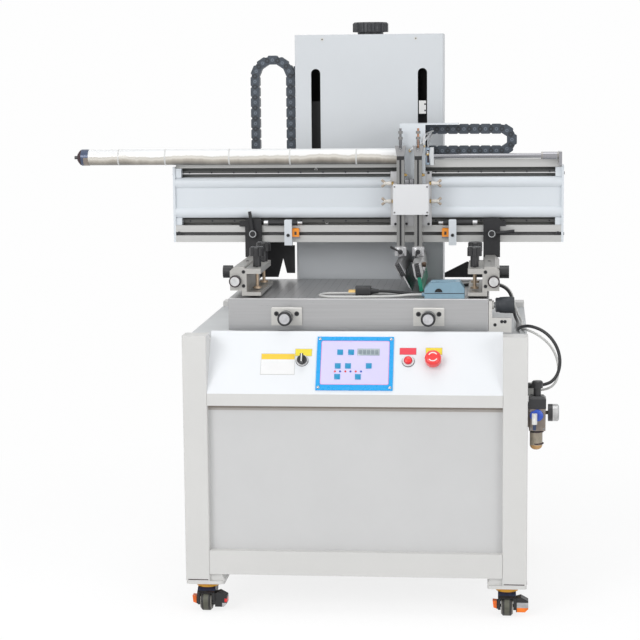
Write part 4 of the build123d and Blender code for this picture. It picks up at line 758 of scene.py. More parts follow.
for name, finish, x, up, width, height in (("selector_plate", label_yellow, -127.2, 110.8, 40.5, 18.4),
                                           ("start_plate", label_red, 129.0, 115.3, 40.0, 17.4),
                                           ("stop_plate", label_yellow, 192.5, 115.8, 39.5, 17.6),
                                           ("bare_plate", label_white, -189.5, 79.5, 83.0, 55.0)):
    piece(name, "cabinet", finish, [(plate(width, height, 0.8, 0.7), on_console(x, up, -0.05))])
    piece(name + "_edge", "cabinet", label_edge,
          [(plate(width + 1.4, height + 1.4, 1.0, 0.5), on_console(x, up, -0.1))])
piece("bare_plate_band", "cabinet", label_amber,
      [(plate(82.0, 14.5, 0.6, 0.3), on_console(-189.5, 99.3, 0.5))])

# Console devices: 22 mm types in chromed bezels. A black selector with a white pointer, a red
# push button, and a red mushroom stop button with two plain white arcs on its top.
bezel_chrome = finish_material("bezel_chrome", (0.74, 0.74, 0.75), 0.3, 0.4, None, 60, 0.06, 0.06)
selector_black = finish_material("selector_black", (0.02, 0.02, 0.022), 0.35, vary=0.2, scale=60, coat=0.2)
button_red = finish_material("button_red", (0.66, 0.012, 0.03), 0.3, vary=0.06, scale=50, coat=0.4)
mushroom_red = finish_material("mushroom_red", (0.86, 0.035, 0.035), 0.3, vary=0.05, scale=50, coat=0.4)
pointer_white = finish_material("pointer_white", (0.82, 0.82, 0.80), 0.4, vary=0.03, scale=60)


def arc_band(inner, outer, begin, end, height, steps=14):
    """A flat curved band about Z, from one angle to another."""
    turns = [math.radians(begin + (end - begin) * step / steps) for step in range(steps + 1)]
    outline = [(outer * math.cos(turn), outer * math.sin(turn)) for turn in turns]
    outline += [(inner * math.cos(turn), inner * math.sin(turn)) for turn in reversed(turns)]
    return prism(outline, height)


selector_x, start_x, stop_x = -130, 130, 191
device_up = 89
dress("device_bezels", bezel_chrome)
dress("selector", selector_black)
dress("start_button", button_red)
dress("stop_button", mushroom_red)
piece("selector_pointer", "selector", pointer_white,
      [(slab(2.6, 21.0, 0.9, 0.3), on_console(selector_x, device_up, 21.4))])
piece("stop_arcs", "stop_button", pointer_white,
      [(arc_band(9.6, 12.2, begin, begin + 118, 0.5), on_console(stop_x, device_up, 29.1))
       for begin in (35, 215)])
# A black ring round the foot of each bezel is painted shade where the bezel meets the face.
piece("bezel_gaskets", "cabinet", selector_black, [
    (band(14.0, 15.6, 0.7), on_console(x, device_up, 0.0)) for x in (selector_x, start_x, stop_x)])
piece("bezel_rings", "cabinet", bezel_chrome, [
    (band(10.6 if x > 0 else 12.4, 14.3, 0.8), on_console(x, device_up, 4.0)) for x in (selector_x, start_x)])
piece("start_lens", "start_button", mushroom_red, [
    (turned((7.4, 0.0), (7.2, 0.8), (5.0, 1.6), (1.0, 2.0)), on_console(start_x, device_up, 9.2))])

# Worktable: a ground steel table on a saddle, drilled all over with small suction holes. Three
# fine adjusters with aluminium barrels shift it; each turns in a bracket held by two screws.
table_steel = finish_material("ground_table_steel", (0.43, 0.43, 0.435), 0.34, 0.75, grain_x, 160, 0.07,
                              0.08, 0.12, 900)
saddle_steel = finish_material("saddle_steel", (0.20, 0.20, 0.21), 0.45, 0.7, None, 60, 0.1, 0.1)
bracket_alu = finish_material("bracket_aluminium", (0.62, 0.61, 0.585), 0.45, 0.35, grain_x, 220, 0.05,
                              0.08, 0.1, 1200)
# Painted shade: thin near-black pieces for holes, slots and the hollows of screw heads.
hole_shade = finish_material("hole_shadow", (0.012, 0.012, 0.013), 0.8, vary=0.2, scale=40)
dress("table_saddle", saddle_steel)
dress("worktable", table_steel)
dress("adjuster_brackets", bracket_alu)
hole_pitch = 20
suction = [(-310 + hole_pitch * column, 158 + hole_pitch * row, 768.0) for column in range(32)
           for row in range(22)]
# The suction holes are thin near-black discs on the top: painted shade in the holes.
screws("suction_holes", "table", suction, 1.1, 0.08, UP, hole_shade, hole_shade)
screws("bracket_screws", "cabinet", [(x + side * 25.5, 135.1, 731) for x in (-177, 177) for side in (-1, 1)],
       6.0, 1.2, FRONT, dark_steel, hole_shade, 0.62)
screws("side_bracket_screws", "cabinet", [(340.5, 142.6, 704), (357, 142.6, 712), (365, 142.6, 712)], 4.2,
       0.8, FRONT, dark_steel, hole_shade, 0.6)
for side, x in (("left", -177), ("right", 177)):
    barrel = finish_material(
        "adjuster_" + side + "_finish", (0.012, 0.012, 0.013), 0.4, 0.0, None, 60, 0.2, 0.1,
        zones=[ring_zone((0.56, 0.56, 0.58), 0.35, 0.6, (x, 84, 724), "Y", 0, 12.8),
               box_zone((0.20, 0.20, 0.205), 0.4, 0.7, (x - 20, 92, 700), (x + 20, 144, 750))])
    dress("adjuster_knob_" + side, barrel)
    rim = [(band(12.8, 15.4, 0.8), at(x, 84.2, 724, 90))]
    piece("adjuster_rim_" + side, "adjuster_" + side, dark_steel, rim)
knob_rubber = finish_material("knob_rubber", (0.022, 0.026, 0.032), 0.5, vary=0.2, scale=70, bump=0.3, zones=[
    box_zone((0.30, 0.31, 0.33), 0.3, 0.9, (320, 140, 725), (343, 190, 775))])
dress("adjuster_knob_side", knob_rubber)
piece("side_knob_sleeve", "adjuster_side", knob_rubber,
      [(turned((18.2, 0.0), (19.6, 3.0), (20.6, 18.0), (20.6, 33.0), (18.8, 38.0), sides=48),
        at(350, 165, 751, 0, 90))])

# Tower: a bent sheet housing in cool light grey powder coat, screwed shut at the top. The lift
# carrier's arms run in two slots with rounded tops. Inside, around the guide shafts, the housing and
# the carrier's arms are painted near black: painted shade in the closed tower.
# The housing's inner faces, inside this box, are painted near black: painted shade.
tower_paint = finish_material(
    "tower_cool_paint", (0.61, 0.635, 0.66), 0.44, vary=0.025, scale=4, bump=0.10, coat=0.1,
    zones=[box_zone((0.035, 0.035, 0.04), 0.7, 0.0, (-198.6, 601.0, 681.0), (198.6, 749.0, 1427))])
shaft_steel = finish_material("shaft_steel", (0.20, 0.20, 0.21), 0.25, 1.0, grain_z, 90, 0.05, 0.05)
dress("tower", tower_paint)
dress("guide_shafts", shaft_steel)
screws("tower_back_screws", "cabinet",
       [(side * 188, 749.9, z) for side in (-1, 1) for z in (720, 950, 1180, 1400)], 4.0, 1.4, BACK,
       bracket_alu, dark_steel, 0.45)
slot_radius = 12.5
arch = [(slot_radius, 0.0), (slot_radius, slot_radius + 0.3), (-slot_radius, slot_radius + 0.3),
        (-slot_radius, 0.0)]
arch += [(slot_radius * math.cos(math.pi * (1 - step / 12)),
          slot_radius * math.sin(math.pi * (1 - step / 12))) for step in range(1, 12)]
piece("slot_arches", "cabinet", tower_paint, [(prism(arch, 1.4), at(x, 601.3, 1337 - slot_radius, 90))
                                             for x in (-144, 144)])
screws("tower_screws", "cabinet", [(-125.6, 600.1, 1415.4), (126.2, 600.1, 1415.6)], 4.4, 1.4, FRONT,
       bracket_alu, dark_steel, 0.45)
screws("slot_block_screws", "head", [(151.0, 599.8, 1240.5), (151.0, 599.8, 1223.5)], 2.4, 0.4, FRONT,
       dark_steel, hole_shade, 0.7)
handwheel_black = finish_material("handwheel_black", (0.016, 0.018, 0.022), 0.42, vary=0.25, scale=50,
                                  bump=0.25, coat=0.1)
dress("tower_handwheel", handwheel_black)

# Drag chains: moulded slate grey plastic links, each joined to the next by a round pivot. One
# loops beside the tower for the lift, the other above the carriage for its air tubes.
chain_slate = finish_material("chain_slate", (0.045, 0.057, 0.074), 0.45, vary=0.2, scale=50, bump=0.2)
chain_dark = finish_material("chain_dark", (0.02, 0.024, 0.03), 0.5, vary=0.2, scale=50, bump=0.2)
chain_clear = finish_material("chain_window", (0.12, 0.145, 0.18), 0.4, vary=0.15, scale=60, coat=0.2)
dress("tower_chain", chain_slate)
dress("carriage_chain", chain_slate)


def chain_path(run, radius, pitch, shift):
    """Points each pitch along a U: out along the upper run, round the bend and back."""
    bend = math.pi * radius
    whole = 2 * run + bend
    count = int(whole // pitch)
    for index in range(count):
        s = (index + shift) * whole / count
        if s < run:
            yield s, radius
        elif s < run + bend:
            turn = (s - run) / radius
            yield run + radius * math.sin(turn), radius * math.cos(turn)
        else:
            yield whole - s, -radius


chain_pitch = 28.0
for name, body, finish, shift, radius in (("chain_pivots", "cabinet", chain_dark, 1.0, 6.4),
                                          ("chain_windows", "cabinet", chain_clear, 0.5, 4.6)):
    upright = [(-263.5 - v, 619.9, 1120 + u) for u, v in chain_path(193.5, 48.5, chain_pitch, shift)]
    lying = [(157 + u, 504.9, 1147.5 + v) for u, v in chain_path(197.5, 28.5, chain_pitch, shift)]
    screws("tower_" + name, "cabinet", upright[:-1] if shift == 1.0 else upright, radius, 0.7, FRONT,
           finish, chain_slate, 0.45)
    screws("carriage_" + name, "carriage", lying[:-1] if shift == 1.0 else lying, radius, 0.7, FRONT,
           finish, chain_slate, 0.45)

# Head beam: two anodised aluminium profiles with T slots on a backbone, a white ribbed cover and
# two ground linear rails, each screwed down every 60 mm. End plates close it.
# The lower profile's T slot on its front is painted dark grey: painted shade in the slot.
anodised = finish_material(
    "anodised_profile", (0.53, 0.53, 0.52), 0.38, 0.55, grain_x, 220, 0.04, 0.08, 0.08, 1200,
    zones=[box_zone((0.12, 0.12, 0.122), 0.6, 0.0, (-514, 484.5, 896.5), (514, 500, 906.5))])
# The backbone's front face is painted dark above and below the cover: painted shade behind the cover and
# rails.
backbone_with_shade = finish_material(
    "backbone_anodised_and_shade", (0.50, 0.50, 0.50), 0.4, 0.5, grain_x, 200, 0.05, 0.08,
    zones=[box_zone((0.13, 0.135, 0.13), 0.5, 0.2, (-515, 520.5, 1000), (515, 522.8, 1100)),
           box_zone((0.17, 0.17, 0.16), 0.5, 0.2, (-515, 520.5, 870), (515, 522.8, 1000))])
# Each rail's face is painted near black, but for a bright strip of bare steel along the upper rail's lower
# edge: painted shade.
rail_steel = finish_material("rail_steel", (0.60, 0.60, 0.61), 0.2, 1.0, grain_x, 120, 0.04, 0.05, zones=[
    box_zone((0.07, 0.072, 0.07), 0.4, 0.3, (-515, 500, 1062.2), (515, 525, 1070)),
    box_zone((0.10, 0.10, 0.095), 0.4, 0.3, (-515, 500, 928), (515, 525, 940))])
rod_chrome = finish_material("rod_chrome", (0.34, 0.34, 0.36), 0.2, 1.0, grain_x, 120, 0.06, 0.05, zones=[
    box_zone((0.34, 0.33, 0.32), 0.3, 1.0, (459, 450, 1090), (464, 500, 1130)),
    box_zone((0.30, 0.29, 0.28), 0.3, 1.0, (500, 450, 1090), (505.5, 500, 1130))])
cover_paint = finish_material("cover_white_paint", (0.70, 0.74, 0.78), 0.38, vary=0.015, scale=5, bump=0.06,
                              coat=0.2)
fitting_white = finish_material("fitting_white", (0.76, 0.76, 0.74), 0.4, vary=0.03, scale=30, bump=0.08)
dress("head_backbone", backbone_with_shade)
dress("beam_profiles", anodised)
dress("beam_cover", cover_paint)
dress("carriage_rails", rail_steel)
dress("head_plates", cover_paint)
# The carrier's arms inside the tower are painted near black: painted shade.
dress("lift_carrier",
      finish_material("lift_arm_white", (0.72, 0.72, 0.71), 0.4, vary=0.03, scale=12, bump=0.08,
                      zones=[box_zone((0.04, 0.04, 0.044), 0.6, 0.0, (-170, 601.5, 900),
                                      (170, 760, 1300))]))
rail_screw_pitch = 60
rail_points = [(-477.5 + rail_screw_pitch * index, 507.15, z) for index in range(17) for z in (1064, 934)]
screws("rail_screws", "head", rail_points, 2.9, 0.2, FRONT, dark_steel, hole_shade, 0.6)
screws("beam_end_screws", "head", [(-504.5, 481.9, 903.2), (504.5, 481.9, 902.7)], 4.6, 2.2, FRONT,
       dark_steel, hole_shade, 0.55)
screws("backbone_bolts", "head", [(-137.8, 521.9, 1070.5), (-109.5, 521.9, 927.5)], 4.2, 2.0, FRONT,
       fitting_white, dark_steel, 0.45)
for name, plate_x, facing in (("end_plate_screws", 519.1, RIGHT), ("end_plate_screws_left", -519.1, LEFT)):
    screws(name, "head", [(plate_x, y, z) for y in (495, 545) for z in (900, 1060)], 4.0, 1.8, facing,
           dark_steel, hole_shade, 0.55)

# Stroke stops: a sheet bracket in the lower slot at each end carries an orange proximity sensor
# and a small shock absorber with steel tips.
sensor_orange = finish_material(
    "sensor_orange", (0.95, 0.31, 0.015), 0.38, vary=0.06, scale=50, coat=0.2,
    zones=[box_zone((0.05, 0.03, 0.02), 0.5, 0.0, (-192, 469, 899), (-186, 471.5, 908)),
           box_zone((0.05, 0.03, 0.02), 0.5, 0.0, (206, 469, 899), (212, 471.5, 908)),
           box_zone((0.22, 0.22, 0.23), 0.5, 0.0, (-200, 460, 880), (220, 490, 894))])
dress("stop_sensors", sensor_orange)
dress("stop_dampers",
      finish_material("damper_black", (0.03, 0.03, 0.032), 0.4, 0.4, None, 60, 0.2, 0.1,
                      zones=[box_zone((0.60, 0.60, 0.61), 0.3, 1.0, (low, 460, 920), (high, 485, 942))
                             for low, high in ((-274, -262), (-183, -170), (190, 203), (281, 294))]))
screws("stop_screws", "head", [(-208, 461.9, 898.7), (228, 461.9, 898.7)], 4.4, 2.0, FRONT, dark_steel,
       hole_shade, 0.55)

# Air cylinder: a long barrel still in its white shipping film, wound tight in bands, with a dark
# cap at the left and a ported head at the right. Its bright rod drives the carriage.
band_xs = (-661, -535, -363, -201, -25)
tube_y, tube_z = 473, 1107
film_zones = [box_zone((0.66, 0.66, 0.65), 0.35, 0.0, (x - 2.2, 440, 1070), (x + 2.2, 510, 1140))
              for x in band_xs]
# The black end cap is painted bluish: a painted highlight; below its axis, next to the barrel, it is painted
# brown.
film_zones += [box_zone((0.05, 0.07, 0.13), 0.3, 0.4, (-790, 440, 1060), (-742, 510, 1140)),
               box_zone((0.24, 0.20, 0.17), 0.3, 0.3, (-755, 440, 1060), (-742, 510, 1107)),
               box_zone((0.02, 0.02, 0.022), 0.4, 0.0, (-790, 440, 1060), (-762, 510, 1140)),
               box_zone((0.66, 0.68, 0.70), 0.3, 0.5, (168, 440, 1060), (182, 510, 1140))]


def film_painted_shading(nodes, links, where):
    """Painted light and shade on the cream film: pale above, with painted shade, darker and warmer, towards
    its underside, its edge creased.
    """
    drawn = nodes.new("ShaderNodeMapping")
    drawn.inputs["Scale"].default_value = (1.0, 0.25, 0.25)
    links.new(where, drawn.inputs["Vector"])
    crease = nodes.new("ShaderNodeGroup")
    crease.node_tree = mottle
    crease.inputs["Scale"].default_value = 9.0
    crease.inputs["Low"].default_value = -0.007
    crease.inputs["High"].default_value = 0.007
    links.new(drawn.outputs["Vector"], crease.inputs["Vector"])
    parts = nodes.new("ShaderNodeSeparateXYZ")
    links.new(where, parts.inputs["Vector"])
    height = nodes.new("ShaderNodeMath")
    links.new(parts.outputs["Z"], height.inputs[0])
    links.new(crease.outputs["Value"], height.inputs[1])
    share = nodes.new("ShaderNodeMapRange")
    share.inputs["From Min"].default_value = 1.086
    share.inputs["From Max"].default_value = 1.128
    links.new(height.outputs[0], share.inputs["Value"])
    ramp = nodes.new("ShaderNodeValToRGB")
    stops = [(0.0, (0.12, 0.11, 0.095)), (0.16, (0.26, 0.235, 0.20)), (0.34, (0.50, 0.46, 0.40)),
             (0.46, (0.72, 0.69, 0.63)), (0.56, (0.60, 0.57, 0.52)), (0.64, (0.84, 0.84, 0.83)),
             (1.0, (0.80, 0.81, 0.82))]
    while len(ramp.color_ramp.elements) < len(stops):
        ramp.color_ramp.elements.new(0.5)
    for element, (position, tone) in zip(ramp.color_ramp.elements, stops):
        element.position = position
        element.color = (*tone, 1)
    links.new(share.outputs["Result"], ramp.inputs["Fac"])
    return ramp.outputs["Color"]


# The film's base colour is painted light and shade, by height on the barrel.
film_wrap = finish_material("film_wrap", (0.76, 0.78, 0.80), 0.28, 0.0, grain_x, 26, 0.05, 0.10, 0.35, 70,
                            coat=0.5, zones=film_zones, pattern=film_painted_shading)
dress("cylinder_tube", film_wrap)
dress("cylinder_rod", rod_chrome)
film_band = turned((20.8, 0.0), (21.7, 1.0), (21.4, 2.2), (21.8, 3.4), (20.8, 4.4), sides=40)
piece("film_bands", "carriage", film_wrap,
      [(film_band, at(x - 2.2, tube_y, tube_z, 0, 90)) for x in band_xs], 60)
piece("end_cap_nose", "carriage", black_and_shade,
      [(turned((20.6, 0.0), (20.0, 4.0), (14.0, 9.0), (9.5, 12.0), (7.0, 12.5)),
        at(-761.5, tube_y, tube_z, 0, -90))])
port_blue = finish_material("port_block_blue", (0.36, 0.45, 0.55), 0.35, 0.5, None, 60, 0.08, 0.08)
piece("cylinder_port_block", "carriage", port_blue, [(slab(11, 45, 45, 2.0), at(163, tube_y, tube_z))])
# A near-black slab on the port block's face: painted shade in its recess.
piece("port_recess_shade", "carriage", black_and_shade, [(slab(5.5, 0.8, 33, 0.2), at(164.6, 450.4, tube_z))])
piece("cylinder_flange", "carriage", fitting_white,
      [(disc(21.5, 4.0, 0.8, 40), at(168.3, tube_y, tube_z, 0, 90))])
piece("port_fitting", "carriage", brass, [
    (turned((4.2, 0.0), (4.2, 5.0), (3.2, 5.4), (3.2, 9.0), sides=6), at(163, 450.8, 1113, 90))])
screws("flange_screws", "carriage", [(172.2, tube_y + y, tube_z + z) for y in (-14, 14) for z in (-14, 14)],
       2.6, 1.4, RIGHT, dark_steel, hole_shade, 0.55)

# Carriage: a satin aluminium plate on the rails with a white guide housing screwed to it, a white
# sheet bracket for the chain, and cream air fittings with wings and brass threads at both sides.
plate_alu = finish_material("carriage_plate_aluminium", (0.53, 0.53, 0.54), 0.36, 0.6, grain_z, 200, 0.05,
                            0.08, 0.08, 1200)
dress("carriage_plate", plate_alu)
dress("guide_housing",
      finish_material("housing_white_paint", (0.74, 0.745, 0.76), 0.4, vary=0.02, scale=8, bump=0.08,
                      coat=0.15))
dress("carriage_cover", cover_paint)
screws("plate_screws", "carriage", [(165.0, 461.9, 1063.2), (159.8, 461.9, 951.8), (107.2, 461.9, 929.2),
                                    (77.6, 461.9, 928.6), (165.1, 461.9, 928.6)],
       3.6, 2.6, FRONT, dark_steel, hole_shade, 0.55)
screws("housing_screws", "carriage", [(x, 404.9, z) for x in (78.5, 163.5) for z in (963, 1030)], 2.6, 1.6,
       FRONT, bright_steel, hole_shade, 0.55)
piece("column_clamp", "carriage", saddle_steel, [
    (slab(10.0, 26, 13, 1.2), at(x, 427, 1042.4)) for x in (110.5, 122.5)])
tube_white = finish_material("air_tube_white", (0.78, 0.785, 0.79), 0.32, vary=0.04, scale=60, coat=0.2)
fitting_cream = finish_material("fitting_cream", (0.70, 0.67, 0.62), 0.4, vary=0.05, scale=60, bump=0.08,
                                coat=0.1)
barrels, wings, threads = [], [], []
for side, wall in ((-1, 73.8), (1, 168.2)):
    for z in (1037.0, 990.0):
        out = wall + side * 5.0
        tip = out + side * 15.0
        threads.append((turned((5.2, 0.0), (5.2, 5.0), (4.2, 5.6), sides=6),
                        at(wall - side * 0.6, 440, z, 0, side * 90)))
        barrels.append((turned((5.2, 0.0), (5.8, 1.0), (5.8, 8.0), (4.4, 10.0), (4.4, 15.0), (5.6, 16.0),
                               (5.2, 20.0)), at(out, 440, z, 0, side * 90)))
        wings += [(turned((3.6, 0.0), (3.3, 5.0), (3.8, 9.0), (2.2, 11.5), sides=16),
                   at(tip + side * 2, 440, z + lift * 2, 0, side * (90 - lift * 38))) for lift in (-1, 1)]
piece("fitting_threads", "carriage", brass, threads)
piece("air_fittings", "carriage", fitting_cream, barrels)
piece("fitting_wings", "carriage",
      finish_material("wing_bronze", (0.42, 0.35, 0.28), 0.4, 0.2, None, 80, 0.1, 0.1), wings)
piece("cover_fittings", "carriage", brass,
      [(turned((3.6, 0.0), (3.6, 4.0), (2.7, 4.4), (2.7, 7.0), sides=12), at(x, 447.4, z, 90))
       for x, z in ((153, 1134), (117, 1122))])


def air_tube(name, body, points, radius, material):
    """A short air tube between two fittings, made a plain mesh."""
    curve = soft_line(name + "_line", points, radius, material, body)
    mesh = bpy.data.meshes.new_from_object(curve)
    bpy.data.objects.remove(curve)
    return finished(name, body, mesh, angle=0)


for name, points in (("chain_tube_front",
                      [(178, 508, 1172), (168, 500, 1170), (160, 474, 1166), (154, 447, 1160),
                       (153, 442, 1150), (153, 439, 1138), (153, 445, 1134)]),
                     ("chain_tube_middle",
                      [(180, 516, 1172), (168, 506, 1166), (162, 476, 1158), (158, 448, 1150),
                       (150, 442, 1142), (132, 441, 1132), (118, 440, 1124), (117, 443, 1122)]),
                     ("chain_tube_rear",
                      [(182, 526, 1170), (170, 520, 1160), (164, 500, 1140), (163, 470, 1126),
                       (163, 446, 1118), (163, 442, 1113)])):
    air_tube(name, "carriage", points, 2.2, tube_white)

# Print columns: grooved aluminium posts that slide in the housing, each with a black cap, a cast
# clevis and a threaded rod with lock nuts that sets its stroke; the right rod is coppered.
cast_grey = (0.30, 0.30, 0.305)
column_x = {"flood": 93.5, "squeegee": 139.5}
body_of = {"flood": "flood_bar", "squeegee": "squeegee"}
# The grooves are painted near black down the middle of each face: painted shade in the grooves.
groove_shade = (0.045, 0.045, 0.05)
for tool, rod_tone in (("flood", (0.16, 0.16, 0.17)), ("squeegee", (0.40, 0.22, 0.14))):
    x = column_x[tool]
    column_zones = [
        box_zone(groove_shade, 0.6, 0.0, (x - 2.6, 415.6, 875), (x + 2.6, 434.4, 1098.8)),
        box_zone(groove_shade, 0.6, 0.0, (x - 9.4, 422.4, 875), (x + 9.4, 427.6, 1098.8)),
        box_zone((0.012, 0.012, 0.013), 0.4, 0.0, (x - 20, 400, 1099), (x + 20, 450, 1109)),
        box_zone(cast_grey, 0.5, 0.3, (x - 20, 400, 1109), (x + 20, 450, 1137)),
        ring_zone(rod_tone, 0.35, 0.9, (x, 425, 1150), "Z", 0, 3.6, (x - 9, 415, 1130), (x + 9, 435, 1200)),
        box_zone((0.50, 0.50, 0.51), 0.35, 0.5, (x - 20, 400, 840), (x + 20, 450, 873))]
    dress(tool + "_column",
          finish_material(tool + "_column_aluminium", (0.245, 0.245, 0.24), 0.36, 0.5, grain_z, 220, 0.05,
                          0.08, 0.08, 1400, zones=column_zones))
spring_steel = finish_material("spring_steel", (0.20, 0.20, 0.21), 0.3, 1.0, None, 80, 0.08, 0.08)


def coil(radius, wire, rise, turns, steps=14, sides=6):
    """A closed wire helix about Z, its ends capped."""
    def make(bm):
        rings = []
        upright = Vector((0, 0, 1))
        for step in range(turns * steps + 1):
            turn = 2 * math.pi * step / steps
            centre = Vector((radius * math.cos(turn), radius * math.sin(turn), rise * step / (turns * steps)))
            outward = Vector((math.cos(turn), math.sin(turn), 0.0))
            around = [2 * math.pi * k / sides for k in range(sides)]
            rings.append([bm.verts.new(centre + wire * (outward * math.cos(bend) + upright * math.sin(bend)))
                          for bend in around])
        for lower, upper in zip(rings, rings[1:]):
            join_loops(bm, lower, upper)
        bm.faces.new(list(reversed(rings[0])))
        bm.faces.new(rings[-1])
    return make


for tool, x in column_x.items():
    body = body_of[tool]
    piece(tool + "_rod_spring", body, spring_steel, [(coil(4.6, 0.6, 13.0, 6), at(x, 425, 1137.5))])
    piece(tool + "_column_fitting", body, brass, [
        (turned((4.4, 0.0), (4.4, 3.4), (3.2, 3.8), (3.2, 7.5), sides=6), at(x + 9.6, 425, 1059.6, 0, 90))])
    screws(tool + "_clevis_pins", body, [(x, 414.4, 1126)], 3.4, 2.0, FRONT, bright_steel, dark_steel, 0.5)

# Blade clamps: ground aluminium holders that tilt on a foot under each column, locked by a black
# lever and a knurled knob. The flood bar is thin steel; the squeegee is green polyurethane.
holder_alu = finish_material("holder_aluminium", (0.44, 0.44, 0.44), 0.36, 0.6, grain_y, 220, 0.07, 0.08,
                             0.1, 1400)
flood_alu = finish_material("flood_holder_finish", (0.17, 0.17, 0.175), 0.38, 0.7, grain_y, 220, 0.08, 0.08,
                            0.1, 1400)
lever_black = finish_material("lever_black", (0.014, 0.014, 0.016), 0.4, vary=0.25, scale=70, bump=0.25,
                              coat=0.1)
knurled_brown = finish_material("knurled_brown", (0.10, 0.065, 0.045), 0.4, 0.6, grain_x, 500, 0.3, 0.1,
                                0.5, 1600)
dress("flood_holder", flood_alu)
dress("squeegee_holder", holder_alu)
dress("flood_blade",
      finish_material("flood_blade_steel", (0.42, 0.42, 0.43), 0.22, 1.0, grain_y, 160, 0.05, 0.06))
dress("squeegee_blade",
      finish_material("squeegee_green", (0.0, 0.26, 0.15), 0.42, vary=0.06, scale=60, bump=0.1, coat=0.15))
for tool, tilt, end_x, pivot_z in (("flood", 28.0, 87.0, 856.0), ("squeegee", 10.5, 139.5, 858.0)):
    x = column_x[tool]
    body = body_of[tool]
    piece(tool + "_foot_plates", body, bright_steel, [
        (slab(17, 3.0, 24, 0.8), at(x, y, 859, 0, -tilt * 0.5)) for y in (405.6, 444.4)])
    slope = math.radians(tilt)
    sine, cosine = math.sin(slope), math.cos(slope)
    clamp_reach = 30
    ends = [(end_x + clamp_reach * sine, y, pivot_z - clamp_reach * cosine) for y in (243.2, 586.8)]
    piece(tool + "_end_clamps", body, lever_black,
          [(slab(13, 4.0, 36, 1.2), at(*end, 0, -tilt)) for end in ends])
    end_screws = [(end_x + reach * sine, 241.3, pivot_z - reach * cosine) for reach in (20, 38)]
    screws(tool + "_end_screws", body, end_screws, 3.8, 2.2, FRONT, dark_steel, hole_shade, 0.55)
    edges = [(end[0] + shift * cosine, end[1], end[2] + shift * sine) for end in ends for shift in (-7, 7)]
    piece(tool + "_end_edges", body, bright_steel,
          [(slab(1.4, 4.6, 34, 0.4), at(*edge, 0, -tilt)) for edge in edges])
    piece(tool + "_lever", body, lever_black, [
        (turned((6.2, 0.0), (6.6, 1.0), (6.2, 7.0), (4.8, 8.2)), at(x, 404.4, 860, 90)),
        (turned((2.6, 0.0), (2.2, 16.0), (3.3, 24.0), (3.0, 29.0), (1.4, 30.5), sides=20),
         at(x, 399.8, 860, 0, -62 if tool == "flood" else 208))])
    screws(tool + "_pivot_screws", body, [(x, 396.3, 860)], 3.6, 1.4, FRONT, dark_steel, hole_shade, 0.55)
piece("squeegee_knob", "squeegee", knurled_brown, [
    (turned((5.6, 0.0), (6.4, 0.8), (6.4, 9.2), (5.4, 10.0), sides=28), at(154.2, 300, 838, 0, 90))])
piece("squeegee_side_plate", "squeegee", bright_steel,
      [(slab(2.4, 46, 20, 0.7), at(157.2, 330, 826, 0, -10.5))])

# Screen clamp arms: black painted steel uprights hung on the head beam, locked by a lever with a
# light ring. Each carries a machined aluminium clamp with two black star knobs.
lever_xs = (-302, 331)
upright_zones = [ring_zone((0.42, 0.43, 0.44), 0.35, 0.3, (x, 460, 903), "Y", 7.4, 9.4, (x - 20, 440, 880),
                           (x + 20, 469, 930)) for x in lever_xs]
arm_black = finish_material("arm_black_paint", (0.013, 0.013, 0.015), 0.6, vary=0.25, scale=30, bump=0.15,
                            zones=upright_zones)
clamp_shadow = (0.035, 0.034, 0.034)
for side, body, inner_x, out in (("left", "left_arm", -244, -1), ("right", "right_arm", 273, 1)):
    dress("arm_upright_" + side, arm_black)
    near_x, far_x = sorted((inner_x + out * 2.5, inner_x + out * 28))
    recess = box_zone(clamp_shadow, 0.6, 0.0, (near_x, 162, 782.4), (far_x, 414, 827.6))
    dress("clamp_rail_" + side,
          finish_material("clamp_" + side + "_aluminium", (0.45, 0.44, 0.42), 0.42, 0.5, grain_y, 200, 0.06,
                          0.08, 0.1, 1200, zones=[recess]))
    screw_x = inner_x + out * 16
    face_x = 337 if side == "right" else -308
    disc_zone = ring_zone((0.60, 0.60, 0.60), 0.35, 0.6, (face_x, 150, 810), "Y", 0, 11.6,
                          (face_x - 20, 140, 790), (face_x + 20, 148, 830))
    spindle = box_zone((0.50, 0.38, 0.27), 0.35, 0.5, (screw_x - 14, 180, 780), (screw_x + 14, 380, 828.5))
    # A light ring on each star knob's top rim: painted highlight.
    rim_highlights = [ring_zone((0.55, 0.55, 0.56), 0.4, 0.0, (screw_x, y, 890), "Z", 13.4, 14.6,
                      (screw_x - 20, y - 20, 889.5), (screw_x + 20, y + 20, 893)) for y in (215, 350)]
    dress("clamp_screws_" + side,
          finish_material("clamp_screws_" + side + "_finish", (0.016, 0.016, 0.018), 0.4, vary=0.25,
                          scale=60, bump=0.25, coat=0.1, zones=[disc_zone, spindle] + rim_highlights))
    hole_x = face_x - out * 20.5
    screws("clamp_face_screws_" + side, body, [(hole_x, 159.9, 833), (hole_x, 159.9, 797.5)], 4.6, 0.5, FRONT,
           dark_steel, hole_shade, 0.7)
    screws("clamp_neck_screws_" + side, body,
           [(face_x - out * 12, 467, 846.0 - 14), (face_x - out * 12, 300, 846.1)], 3.6, 1.6, UP,
           dark_steel, hole_shade, 0.55)
    piece("clamp_face_ring_" + side, body, black_and_shade, [
        (band(11.7, 13.6, 0.8), at(face_x, 146.3, 810, 90))])

